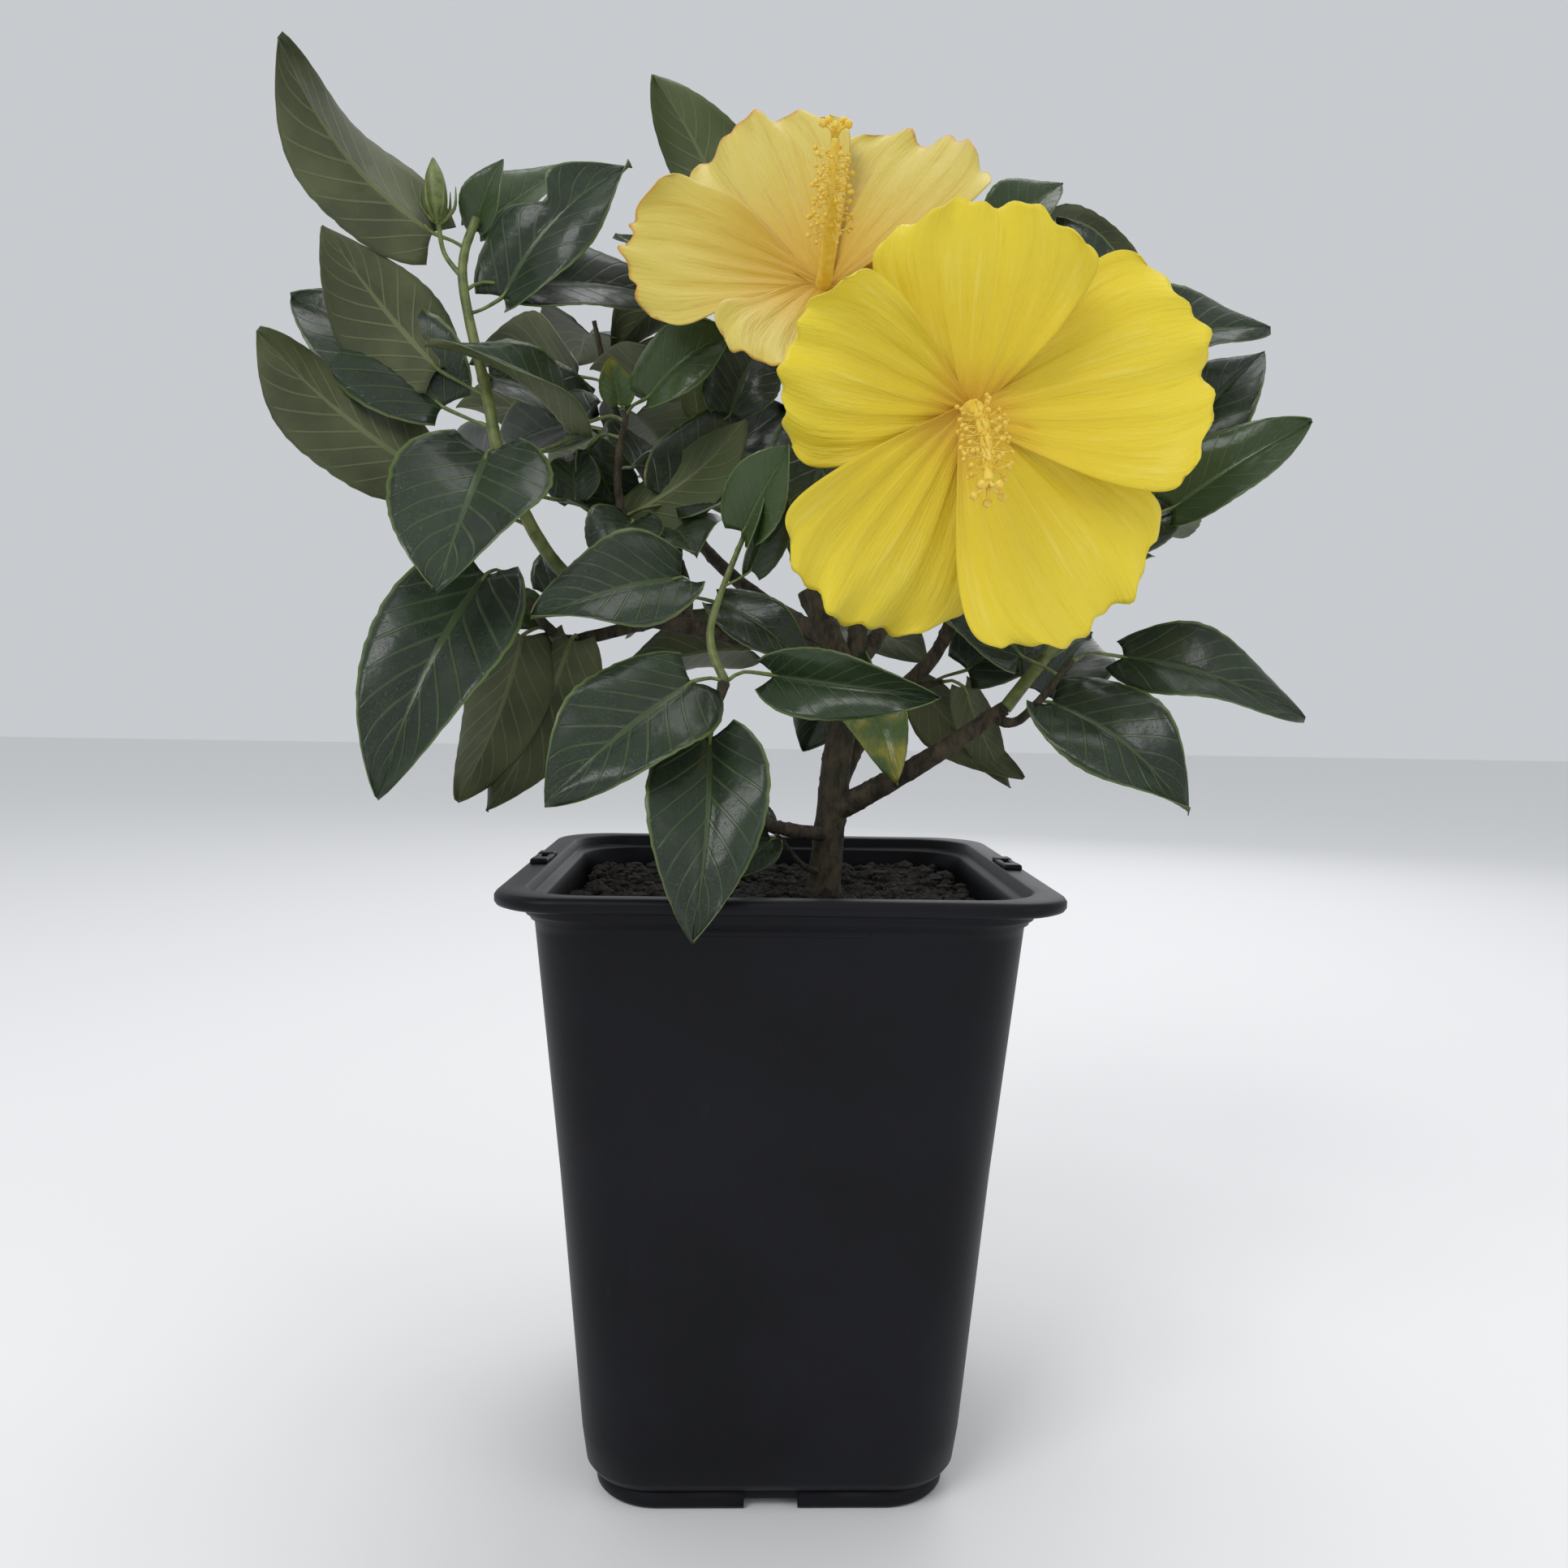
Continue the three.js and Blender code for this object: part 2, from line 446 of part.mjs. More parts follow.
// A mass of leaves: its hidden stem, and each leaf on a stalk from the stem's nearest point.
function foliage(mass) {
  const path = PATHS[mass.limb];
  const core = portion(path, ...mass.span).map(([x, y, z]) => [x, y, z, CORE_RADIUS]);
  const curve = new THREE.CatmullRomCurve3(core.map(([x, y, z]) => new THREE.Vector3(x, y, z)));
  const places = curve.getPoints(12);
  const leaves = [...mass.leaves, ...dealtLeaves(mass)];
  return (extra) => {
    const solids = [bentCylinder(core, extra, 5)];
    for (const leaf of leaves) {
      const { blade, held } = leafLobe(path, leaf, extra);
      const root = places.reduce((a, b) => (b.distanceTo(held) < a.distanceTo(held) ? b : a));
      const ends = [root, held].map((end) => [end.x, end.y, end.z, STALK_RADIUS]);
      solids.push(blade, bentCylinder(ends, extra, 3));
    }
    return join(solids);
  };
}

// ---- blooms: a funnel of five lobed petals round a column ----
function bloom({ limb, tilt, flare, petals, column }) {
  const throat = placeAt(PATHS[limb], 1);
  const columnPath = walk(throat, column, COLUMN.foot, COLUMN.tip);
  return (extra) => {
    const profile = [
      [0, -16], [5, -15], [7, -2], [22, 5], [0.7, 0, 1], [1, 0, 1], [1, 2.5, 1], [0.7, 3, 1],
      [20, 8.5], [0, 4],
    ];
    const mean = petals.reduce((sum, petal) => sum + petal[1], 0) / petals.length;
    const outline = profile.map(([half, depth, share]) => (share
      ? new THREE.Vector2(half * mean + extra, half * mean * flare + depth + Math.sign(depth - 1) * extra)
      : new THREE.Vector2(half, depth + Math.sign(depth + 1) * extra)));
    outline[0].x = 0;
    outline[outline.length - 1].x = 0;
    const geometry = new THREE.LatheGeometry(outline, BLOOM_SIDES);
    const at = geometry.attributes.position;
    for (let i = 0; i < at.count; i += 1) {
      const radius = Math.hypot(at.getX(i), at.getZ(i));
      if (radius < 30) continue;
      const angle = THREE.MathUtils.radToDeg(Math.atan2(-at.getZ(i), at.getX(i)));
      let reach = 0;
      for (const [heading, length] of petals) {
        const off = Math.abs(((angle - heading + 540) % 360) - 180) / (180 / PETAL_COUNT);
        reach = Math.max(reach, (length / mean) * (1 - 0.16 * off ** 4));
      }
      at.setX(i, at.getX(i) * reach);
      at.setZ(i, at.getZ(i) * reach);
    }
    // The turned shape's axis (+Y) is laid on the way the bloom looks, with +X kept to the right.
    geometry.rotateX(Math.PI);
    geometry.rotateX(-THREE.MathUtils.degToRad(tilt));
    geometry.translate(...throat);
    return join([toSolid(geometry), bentCylinder(columnPath, extra, 6)]);
  };
}

// ---- assembly, from the ground up ----
addPiece('pot', 'plastic', potSolid);
addPiece('soil', 'compost', soilSolid);
for (const [name, limb] of Object.entries(LIMBS)) {
  if (limb.enters === 0 || name.startsWith('stalk')) continue;
  const colour = GREEN_LIMBS.includes(name) ? 'greenStem' : 'bark';
  const stations = portion(PATHS[name], 0, limb.enters ?? 1);
  const [sides, perSpan] = name === 'trunk' ? [9, 2] : [LIMB_SIDES, 1];
  addPiece(name, colour, (extra) => bentCylinder(stations, extra, sides, perSpan));
}
for (const [name, spec] of Object.entries(BLOOMS)) addPiece(name, 'petal', bloom(spec));
for (const [name, mass] of Object.entries(MASSES)) addPiece(name, 'leaf', foliage(mass));

export default group;
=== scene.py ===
"""A yellow-flowered hibiscus shrub in its square nursery pot: bark, leaves, blooms, pot and compost."""

import math
import random

import bmesh
import bpy
from mathutils import Matrix, Vector, noise


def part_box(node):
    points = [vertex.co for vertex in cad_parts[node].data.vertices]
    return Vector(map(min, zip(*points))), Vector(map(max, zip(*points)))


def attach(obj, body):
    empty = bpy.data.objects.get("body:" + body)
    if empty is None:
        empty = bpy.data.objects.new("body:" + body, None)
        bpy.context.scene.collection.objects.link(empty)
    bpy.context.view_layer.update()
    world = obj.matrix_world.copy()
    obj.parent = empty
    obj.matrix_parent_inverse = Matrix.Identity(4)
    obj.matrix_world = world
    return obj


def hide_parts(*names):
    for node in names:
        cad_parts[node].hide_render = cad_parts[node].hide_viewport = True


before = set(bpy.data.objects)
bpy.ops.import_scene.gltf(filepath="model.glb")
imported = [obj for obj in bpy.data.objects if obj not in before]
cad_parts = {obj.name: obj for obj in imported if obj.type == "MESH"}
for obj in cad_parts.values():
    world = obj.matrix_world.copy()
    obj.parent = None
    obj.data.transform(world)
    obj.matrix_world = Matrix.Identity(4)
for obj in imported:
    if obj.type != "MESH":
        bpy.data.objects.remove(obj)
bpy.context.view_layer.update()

MM = 0.001
FOOT = 7                               # mm, how far the pot's foot lifts its body and the plant
SOIL_TOP = FOOT + 212                  # mm
RIM_TOP = FOOT + 226                   # mm
FRONT_LOOK = Vector((0, -0.85, 0.5))   # the way leaf faces turn on the shrub's front
BACK_LOOK = Vector((0, 0.6, 0.8))      # and behind it
BACK_FROM = 25                         # mm, where the back begins

# ---------------------------------------------------------------- the shrub's growth
# A limb leaves its parent at a share of the parent's length and runs on in straight reaches of
# (heading, rise, length). Heading 0 is to the right and 90 to the back, and "foot" and "tip" are
# radii. Angles are in degrees and lengths in mm.
TRUNK_FOOT = Vector((19, 0, SOIL_TOP))
ROOT_FLARE = 1.8                       # mm that the trunk's radius gains at its foot
BURIED = 6                             # mm of the trunk below the compost
LIMBS = {
    "trunk": {"foot": 6.9, "tip": 4.6,
        "reaches": [[10, 85, 10], [10, 85, 42], [15, 85, 37], [155, 65, 40]]},
    "bough_right": {"from": "trunk", "at": 0.27, "foot": 5, "tip": 2.9,
        "reaches": [[-20, 30, 42], [-10, 35, 40]]},
    "bough_right_tip": {"from": "bough_right", "at": 1, "foot": 2.7, "tip": 1,
    "reaches": [[15, 50, 28], [20, 45, 34], [30, 55, 30], [100, 85, 30], [165, 75, 50]]},
    "bough_bloom": {"from": "trunk", "at": 0.3, "foot": 3.6, "tip": 1.8,
    "reaches": [[35, 60, 40], [-30, 45, 42], [-55, 70, 46], [-105, 45, 30], [-100, 20, 40]]},
    "bough_centre": {"from": "trunk", "at": 0.68, "foot": 4.4, "tip": 1,
    "reaches": [[60, 60, 22], [90, 85, 62], [170, 80, 40], [85, 75, 80]]},
    "stalk_bloom_back": {"from": "bough_centre", "at": 0.43, "foot": 1.9, "tip": 2,
    "reaches": [[-125, 60, 54], [-100, 50, 24]]},
    "bough_left": {"from": "trunk", "at": 0.68, "foot": 4.8, "tip": 3.1,
    "reaches": [[-145, 25, 24], [-160, 15, 25], [-175, 10, 36]]},
    "bough_left_low": {"from": "bough_left", "at": 1, "foot": 2.9, "tip": 1.2,
    "reaches": [[170, -15, 25], [-170, 0, 14], [-130, 40, 34]]},
    "stem_upper_left": {"from": "bough_left", "at": 0.96, "foot": 3, "tip": 1.6,
    "reaches": [[175, 25, 42], [-145, 55, 43], [165, 75, 30], [150, 75, 46], [50, 75, 24]]},
    "stem_mid": {"from": "bough_left", "at": 0.96, "foot": 2.7, "tip": 1.2,
    "reaches": [[115, 60, 20], [145, 55, 26], [150, 80, 22], [-20, 80, 26]]},
    "stem_back": {"from": "bough_left", "at": 0.85, "foot": 2.7, "tip": 1,
    "reaches": [[95, 40, 27], [110, 55, 27], [45, 70, 42], [20, 70, 36], [180, 85, 56]]},
    "bough_front": {"from": "trunk", "at": 0.2, "foot": 3, "tip": 1.7,
    "reaches": [[-130, 10, 40], [-120, 30, 32], [-125, 40, 22], [10, 75, 25]]},
    "stem_front": {"from": "bough_front", "at": 1, "foot": 1.7, "tip": 0.9,
    "reaches": [[120, 60, 22], [20, 70, 37]]},
    "bough_back_right": {"from": "trunk", "at": 0.69, "foot": 3.8, "tip": 1,
    "reaches": [[50, 40, 36], [55, 45, 39], [60, 70, 65], [-60, 65, 60], [-85, 40, 24]]},
    "bough_back_left": {"from": "trunk", "at": 0.83, "foot": 3.8, "tip": 1.1,
    "reaches": [[135, 25, 43], [140, 35, 40], [155, 50, 60], [-140, 70, 55]]},
    "twig_inner": {"from": "bough_left", "at": 0.89, "foot": 2.2, "tip": 1,
        "reaches": [[95, 55, 20], [85, 65, 25]]},
    "twig_fork": {"from": "trunk", "at": 0.66, "foot": 2, "tip": 1, "reaches": [[-50, 5, 16]]},
    "twig_right_low": {"from": "bough_right", "at": 0.93, "foot": 2.2, "tip": 0.9,
    "reaches": [[-40, -5, 12], [-15, 50, 30]]},
    "twig_low_back": {"from": "bough_bloom", "at": 0.29, "foot": 1.8, "tip": 1,
        "reaches": [[5, 10, 18]]},
    "twig_back_low": {"from": "trunk", "at": 0.8, "foot": 2.4, "tip": 1,
        "reaches": [[125, 10, 27], [90, -15, 29]]},
    "twig_foot": {"from": "trunk", "at": 0.08, "foot": 1.6, "tip": 0.8,
        "reaches": [[-130, 15, 15], [-150, 45, 18]]},
}

# A mass of leaves sits on a span of its limb. Its outer leaves are
# [kind, share of the limb, stalk's heading, stalk's length, heading, rise, length, width as a share].
# Kinds: g dark, m mid green, u underside turned out, y yellowish, f folded, b bitten. "fill" more
# leaves are dealt round the side that the mass faces, by the seeded rule in dealt_leaves.
MASSES = {
    "foliage_left": {"limb": "stem_upper_left", "span": [0.35, 0.58], "faces": 110, "fill": 3, "seed": 21,
        "leaves": [
    ["f", 0.5, 30, 30, 215, 30, 62, 0.58], ["g", 0.5, 255, 12, 265, -50, 68, 0.85],
    ["u", 0.35, 195, 45, 210, 35, 70, 0.63]]},
    "foliage_top_left": {"limb": "stem_upper_left", "span": [0.62, 1], "faces": 100, "fill": 1, "seed": 2,
        "leaves": [
    ["g", 0.68, 95, 30, 35, -10, 50, 0.8], ["u", 0.93, 190, 14, 215, 35, 76, 0.6],
    ["u", 0.62, 185, 20, 205, 50, 60, 0.73], ["m", 0.97, 90, 6, 330, 65, 27, 0.63],
    ["m", 0.97, 90, 10, 30, 40, 50, 0.52], ["b", 0.8, 25, 14, 0, 55, 70, 0.57]]},
    "foliage_left_low": {"limb": "bough_left_low", "span": [0.34, 1], "faces": 130, "fill": 1, "seed": 3,
        "leaves": [
    ["g", 1, 245, 11, 235, -55, 90, 0.56], ["u", 0.58, 210, 12, 230, -70, 68, 0.5],
    ["u", 0.42, 260, 10, 205, -65, 72, 0.53], ["m", 0.6, 120, 10, 195, 20, 27, 0.67]]},
    "foliage_mid": {"limb": "stem_mid", "span": [0.39, 1], "faces": 95, "fill": 3, "seed": 4, "leaves": [
    ["m", 0.95, 315, 13, 350, 40, 45, 0.7], ["y", 0.97, 200, 4, 250, 70, 18, 0.78],
    ["u", 0.5, 90, 9, 345, 35, 62, 0.58], ["g", 0.85, 150, 17, 60, -50, 44, 0.6],
    ["g", 0.45, 180, 24, 105, 55, 28, 0.78], ["g", 0.5, 300, 8, 260, -30, 44, 0.68]]},
    "foliage_centre": {"limb": "stem_back", "span": [0.49, 1], "faces": 125, "fill": 2, "seed": 5,
        "leaves": [
    ["g", 0.62, 140, 17, 155, 15, 49, 0.7], ["g", 0.53, 345, 13, 30, 65, 38, 0.9],
    ["m", 0.55, 180, 4, 230, 70, 21, 0.67], ["f", 0.76, 200, 15, 170, 45, 48, 0.5],
    ["g", 0.9, 180, 6, 180, 35, 31, 0.65], ["m", 0.98, 20, 4, 180, 65, 67, 0.66]]},
    "foliage_crown": {"limb": "bough_centre", "span": [0.52, 1], "faces": 70, "fill": 3, "seed": 6,
        "leaves": [
    ["m", 1, 90, 5, 30, 60, 39, 0.77], ["g", 0.55, 255, 17, 240, -55, 66, 0.67]]},
    "foliage_inner": {"limb": "twig_inner", "span": [0.2, 1], "faces": 90, "fill": 0, "seed": 7, "leaves": [
    ["g", 1, 135, 5, 280, -15, 42, 0.86], ["g", 0.25, 0, 15, 345, -30, 48, 0.5],
    ["g", 0.35, 275, 35, 210, -15, 60, 0.67]]},
    "foliage_front_low": {"limb": "bough_front", "span": [0.79, 1], "faces": 270, "fill": 0, "seed": 8,
        "leaves": [
    ["g", 1, 195, 12, 220, -35, 68, 0.7], ["g", 0.84, 270, 7, 275, -60, 74, 0.57],
    ["f", 1, 15, 18, 335, -5, 62, 0.5]]},
    "foliage_front": {"limb": "stem_front", "span": [0.62, 1], "faces": 270, "fill": 0, "seed": 9,
        "leaves": [
    ["m", 0.95, 270, 5, 320, 50, 35, 0.8], ["f", 0.62, 340, 12, 0, 75, 36, 0.55]]},
    "foliage_fork": {"limb": "twig_fork", "span": [0.3, 1], "faces": 270, "fill": 0, "seed": 10, "leaves": [
    ["y", 1, 210, 7, 295, -45, 46, 0.57]]},
    "foliage_right_low": {"limb": "twig_right_low", "span": [0.15, 1], "faces": 130, "fill": 2, "seed": 11,
        "leaves": [
    ["g", 1, 25, 25, 335, -15, 71, 0.48], ["g", 0.5, 340, 6, 320, -30, 68, 0.65]]},
    "foliage_low_back": {"limb": "twig_low_back", "span": [0.2, 1], "faces": 70, "fill": 1, "seed": 12,
        "leaves": [
    ["u", 0.5, 90, 4, 345, -45, 57, 0.46], ["u", 1, 330, 10, 15, -65, 46, 0.43]]},
    "foliage_right": {"limb": "bough_right_tip", "span": [0.47, 1], "faces": 120, "fill": 3, "seed": 13,
        "leaves": [
    ["m", 0.57, 340, 16, 335, 30, 60, 0.57], ["g", 0.65, 15, 13, 345, 55, 64, 0.62],
    ["g", 0.95, 280, 7, 340, 10, 58, 0.69], ["g", 0.66, 20, 10, 180, -65, 30, 1.1],
    ["g", 1, 90, 5, 155, 65, 56, 0.71], ["g", 0.5, 230, 8, 250, -20, 48, 0.62]]},
    "foliage_back_right": {"limb": "bough_back_right", "span": [0.5, 1], "faces": 60, "fill": 6, "seed": 14,
        "leaves": [
    ["m", 1, 275, 4, 0, 40, 37, 0.8]]},
    "foliage_back_left": {"limb": "bough_back_left", "span": [0.6, 1], "faces": 115, "fill": 7, "seed": 15,
        "leaves": []},
    "foliage_back_low": {"limb": "twig_back_low", "span": [0.3, 1], "faces": 90, "fill": 3, "seed": 16,
        "leaves": [
    ["b", 0.3, 330, 20, 165, -70, 45, 0.75]]},
    "foliage_foot": {"limb": "twig_foot", "span": [0.2, 1], "faces": 270, "fill": 0, "seed": 17, "leaves": [
    ["g", 1, 150, 4, 150, 40, 22, 0.6], ["g", 0.95, 215, 4, 215, -40, 24, 0.7]]},
}

# A bloom opens at the end of its limb. "tilt" is how far it looks up, its petals are
# (angle round the bloom, length, width), and its column runs on in reaches from the throat.
BLOOMS = {
    "bloom_front": {"limb": "bough_bloom", "fade": 0.0, "tilt": -14, "flare": 0.22,
    "petals": [[90, 66, 76], [15, 80, 84], [-55, 86, 84], [-120, 82, 80], [165, 66, 70]],
    "column": [[-90, -5, 12], [-90, -25, 15], [-90, -45, 17], [-95, -55, 14]]},
    "bloom_back": {"limb": "stalk_bloom_back", "fade": 1.0, "tilt": 32, "flare": 0.34,
    "petals": [[115, 76, 74], [55, 80, 74], [-20, 58, 66], [-100, 62, 70], [180, 74, 64]],
    "column": [[-85, 30, 12], [-90, 35, 17], [-90, 40, 16], [-90, 55, 14]]},
}

GREEN_LIMBS = ("bough_right_tip", "stem_upper_left", "stem_front", "stalk_bloom_back")
STALK_RISE = 10                        # degrees that a stalk lifts over a third of its blade's rise
DEALT_AROUND, DEALT_WANDER = 150, 20   # degrees
DEALT_RISE, DEALT_LENGTH = (-20, 40), (58, 74)
DEALT_WIDTH, DEALT_STALK = 0.66, 0.3   # shares of a dealt leaf's length
ROLL = {"f": 40}                       # degrees that a leaf is turned about its length
FOLD = {"g": 20, "m": 25, "u": 24, "y": 18, "f": 48, "b": 16}
COLUMN = (3.1, 1.6)                    # mm, the radii of a bloom's column


def mix(low, high, share):
    return low + (high - low) * share


def heading(turn, rise):
    turn, rise = math.radians(turn), math.radians(rise)
    return Vector((math.cos(turn) * math.cos(rise), math.sin(turn) * math.cos(rise), math.sin(rise)))


def walk(start, reaches, foot, tip):
    """The stations (x, y, z, radius) that a walk along the reaches passes."""
    place = start.copy()
    whole = sum(reach[2] for reach in reaches)
    stations = [[*place, foot]]
    gone = 0
    for turn, rise, length in reaches:
        place = place + heading(turn, rise) * length
        gone += length
        stations.append([*place, mix(foot, tip, gone / whole)])
    return stations


def place_at(path, share):
    """The point at a share of a path's length."""
    places = [Vector(station[:3]) for station in path]
    lengths = [(b - a).length for a, b in zip(places, places[1:])]
    left = share * sum(lengths)
    i = 0
    while i < len(lengths) - 1 and left > lengths[i]:
        left -= lengths[i]
        i += 1
    return places[i].lerp(places[i + 1], left / lengths[i])


def grown_limbs():
    """The stations of every limb, each grown from a point on its parent."""
    paths = {}
    for name, plan in LIMBS.items():
        start = place_at(paths[plan["from"]], plan["at"]) if "from" in plan else TRUNK_FOOT
        paths[name] = walk(start, plan["reaches"], plan["foot"], plan["tip"])
    trunk = paths["trunk"]
    trunk[0][3] += ROOT_FLARE
    trunk.insert(0, [*(TRUNK_FOOT - Vector((0.5, 0, BURIED))), trunk[0][3] + 1])
    return paths


def deal(seed):
    """A number from 0 to 1 that looks random and is the same for the same seed."""
    wave = math.sin(seed * 12.9898) * 43758.5453
    return wave - math.floor(wave)


def dealt_leaves(mass):
    """Leaves dealt by the two-fifths spiral, squeezed to the side that the mass faces."""
    leaves = []
    for i in range(mass["fill"]):
        base = mass["seed"] * 10 + i
        turn = (i * 2 / 5) % 1 - 0.4
        side = mass["faces"] + DEALT_AROUND * turn + mix(-DEALT_WANDER, DEALT_WANDER, deal(base + 0.1))
        length = mix(*DEALT_LENGTH, deal(base + 0.5))
        share = mix(*mass["span"], (i + 0.6) / mass["fill"])
        kind = "m" if i % 4 == 3 else "g"
        rise = mix(*DEALT_RISE, deal(base + 0.3))
        leaves.append([kind, share, side, DEALT_STALK * length, side, rise, length, DEALT_WIDTH])
    return leaves


def placed_leaves(mass):
    """Each leaf of a mass as (kind, root, foot, heading, rise, length, width)."""
    path = PATHS[mass["limb"]]
    placed = []
    for kind, share, stalk_turn, stalk, turn, rise, length, width in mass["leaves"] + dealt_leaves(mass):
        root = place_at(path, share)
        foot = root + heading(stalk_turn, rise / 3 + STALK_RISE) * stalk
        placed.append((kind, root, foot, turn, rise, length, width * length))
    return placed


PATHS = grown_limbs()


# ---------------------------------------------------------------- node helpers
class Paint:
    """Builds one material's nodes, a line for each step."""

    def __init__(self, name):
        self.material = bpy.data.materials.new(name)
        self.material.use_nodes = True
        self.tree = self.material.node_tree
        self.shader = self.tree.nodes["Principled BSDF"]

    def node(self, kind, **settings):
        made = self.tree.nodes.new(kind)
        for key, value in settings.items():
            setattr(made, key, value)
        return made

    def feed(self, socket, value):
        if isinstance(value, bpy.types.NodeSocket):
            self.tree.links.new(value, socket)
        elif value is not None:
            socket.default_value = value

    def calc(self, operation, a, b=None, c=None, clamp=False):
        made = self.node("ShaderNodeMath", operation=operation, use_clamp=clamp)
        for socket, value in zip(made.inputs, (a, b, c)):
            self.feed(socket, value)
        return made.outputs[0]

    def fade(self, value, low, high):
        made = self.node("ShaderNodeMapRange", interpolation_type="SMOOTHSTEP")
        for key, item in (("Value", value), ("From Min", low), ("From Max", high)):
            self.feed(made.inputs[key], item)
        return made.outputs[0]

    def mix(self, share, a, b, blend="MIX"):
        made = self.node("ShaderNodeMix", data_type="RGBA", blend_type=blend)
        self.feed(made.inputs[0], share)
        for socket, value in ((made.inputs[6], a), (made.inputs[7], b)):
            self.feed(socket, (*value, 1) if isinstance(value, tuple) else value)
        return made.outputs[2]

    def noise(self, vector, scale, detail=3, rough=0.55):
        made = self.node("ShaderNodeTexNoise")
        self.feed(made.inputs["Vector"], vector)
        for key, item in (("Scale", scale), ("Detail", detail), ("Roughness", rough)):
            made.inputs[key].default_value = item
        return made.outputs["Fac"]

    def place(self):
        return self.node("ShaderNodeTexCoord").outputs["Object"]

    def stretch(self, vector, scale):
        made = self.node("ShaderNodeMapping")
        self.feed(made.inputs["Vector"], vector)
        made.inputs["Scale"].default_value = scale
        return made.outputs[0]

    def flat(self):
        """The piece's own lengthways and crossways places, from its UV map."""
        split = self.node("ShaderNodeSeparateXYZ")
        self.feed(split.inputs[0], self.node("ShaderNodeUVMap", uv_map="flat").outputs[0])
        return split.outputs[0], split.outputs[1]

    def tone(self):
        return self.node("ShaderNodeAttribute", attribute_name="tone").outputs["Fac"]

    def relief(self, height, depth, strength=1.0):
        made = self.node("ShaderNodeBump")
        made.inputs["Distance"].default_value = depth
        made.inputs["Strength"].default_value = strength
        self.feed(made.inputs["Height"], height)
        self.feed(self.shader.inputs["Normal"], made.outputs[0])

    def done(self, colour, roughness, **fixed):
        self.feed(self.shader.inputs["Base Color"], colour)
        self.feed(self.shader.inputs["Roughness"], roughness)
        for key, value in fixed.items():
            self.shader.inputs[key.replace("_", " ")].default_value = value
        return self.material


def leaf_veins(paint):
    """Shares, 0 to 1: midrib and side veins, the fine net between them, and nearness to the edge."""
    across, along = paint.flat()
    out = paint.calc("ABSOLUTE", paint.calc("MULTIPLY_ADD", across, 2, -1))
    rib_width = paint.calc("MULTIPLY_ADD", along, -0.05, 0.065)
    rib = paint.fade(paint.calc("SUBTRACT", rib_width, out), -0.02, 0.01)
    climb = paint.calc("MULTIPLY", paint.calc("POWER", out, 0.8), 0.32)
    step = paint.calc("MULTIPLY", paint.calc("SUBTRACT", along, climb), 8)
    near = paint.calc("ABSOLUTE", paint.calc("SUBTRACT", paint.calc("FRACT", step), 0.5))
    thin = paint.calc("MULTIPLY_ADD", out, -0.05, 0.085)
    side = paint.fade(paint.calc("SUBTRACT", thin, near), -0.03, 0.02)
    side = paint.calc("MULTIPLY", side, paint.fade(out, 1.0, 0.75))
    net = paint.node("ShaderNodeTexVoronoi", feature="DISTANCE_TO_EDGE")
    paint.feed(net.inputs["Vector"], paint.stretch(paint.place(), (420, 420, 420)))
    fine = paint.fade(net.outputs["Distance"], 0.1, 0.0)
    veins = paint.calc("MAXIMUM", rib, paint.calc("MULTIPLY", side, 0.75), clamp=True)
    return veins, fine, out


def leaf_upper():
    paint = Paint("leaf_upper")
    veins, fine, out = leaf_veins(paint)
    place, tone = paint.place(), paint.tone()
    blotch = paint.noise(place, 45, 4)
    green = paint.mix(paint.fade(blotch, 0.3, 0.7), (0.005, 0.013, 0.005), (0.013, 0.03, 0.009))
    green = paint.mix(paint.fade(tone, 0.3, 0.7), green, (0.034, 0.064, 0.014))
    patch = paint.fade(paint.noise(place, 60, 2), 0.4, 0.62)
    yellow = paint.mix(patch, (0.06, 0.11, 0.02), (0.38, 0.33, 0.03))
    green = paint.mix(paint.fade(tone, 0.8, 0.95), green, yellow)
    green = paint.mix(paint.calc("MULTIPLY", fine, 0.18), green, (0.05, 0.09, 0.03))
    green = paint.mix(paint.calc("MULTIPLY", veins, 0.34), green, (0.1, 0.15, 0.045))
    green = paint.mix(paint.calc("MULTIPLY", paint.fade(out, 0.93, 0.985), 0.75), green, (0.13, 0.19, 0.05))
    height = paint.calc("MULTIPLY_ADD", veins, -1.0, paint.calc("MULTIPLY", fine, -0.12))
    height = paint.calc("ADD", height, paint.noise(place, 110, 3))
    paint.relief(height, 0.0006, 0.6)
    gloss = paint.calc("MULTIPLY_ADD", paint.noise(place, 90, 3), 0.2, 0.12)
    return paint.done(green, gloss, IOR=1.5)


def leaf_lower():
    paint = Paint("leaf_lower")
    veins, fine, _ = leaf_veins(paint)
    place, tone = paint.place(), paint.tone()
    blotch = paint.fade(paint.noise(place, 40, 4), 0.3, 0.7)
    olive = paint.mix(blotch, (0.045, 0.055, 0.02), (0.1, 0.115, 0.045))
    olive = paint.mix(paint.fade(tone, 0.3, 0.7), olive, (0.09, 0.13, 0.035))
    olive = paint.mix(paint.calc("MULTIPLY", fine, 0.3), olive, (0.16, 0.18, 0.09))
    olive = paint.mix(paint.calc("MULTIPLY", veins, 0.6), olive, (0.2, 0.23, 0.1))
    paint.relief(paint.calc("MULTIPLY_ADD", veins, 1.0, paint.calc("MULTIPLY", fine, 0.2)), 0.0005, 0.8)
    return paint.done(olive, 0.55)


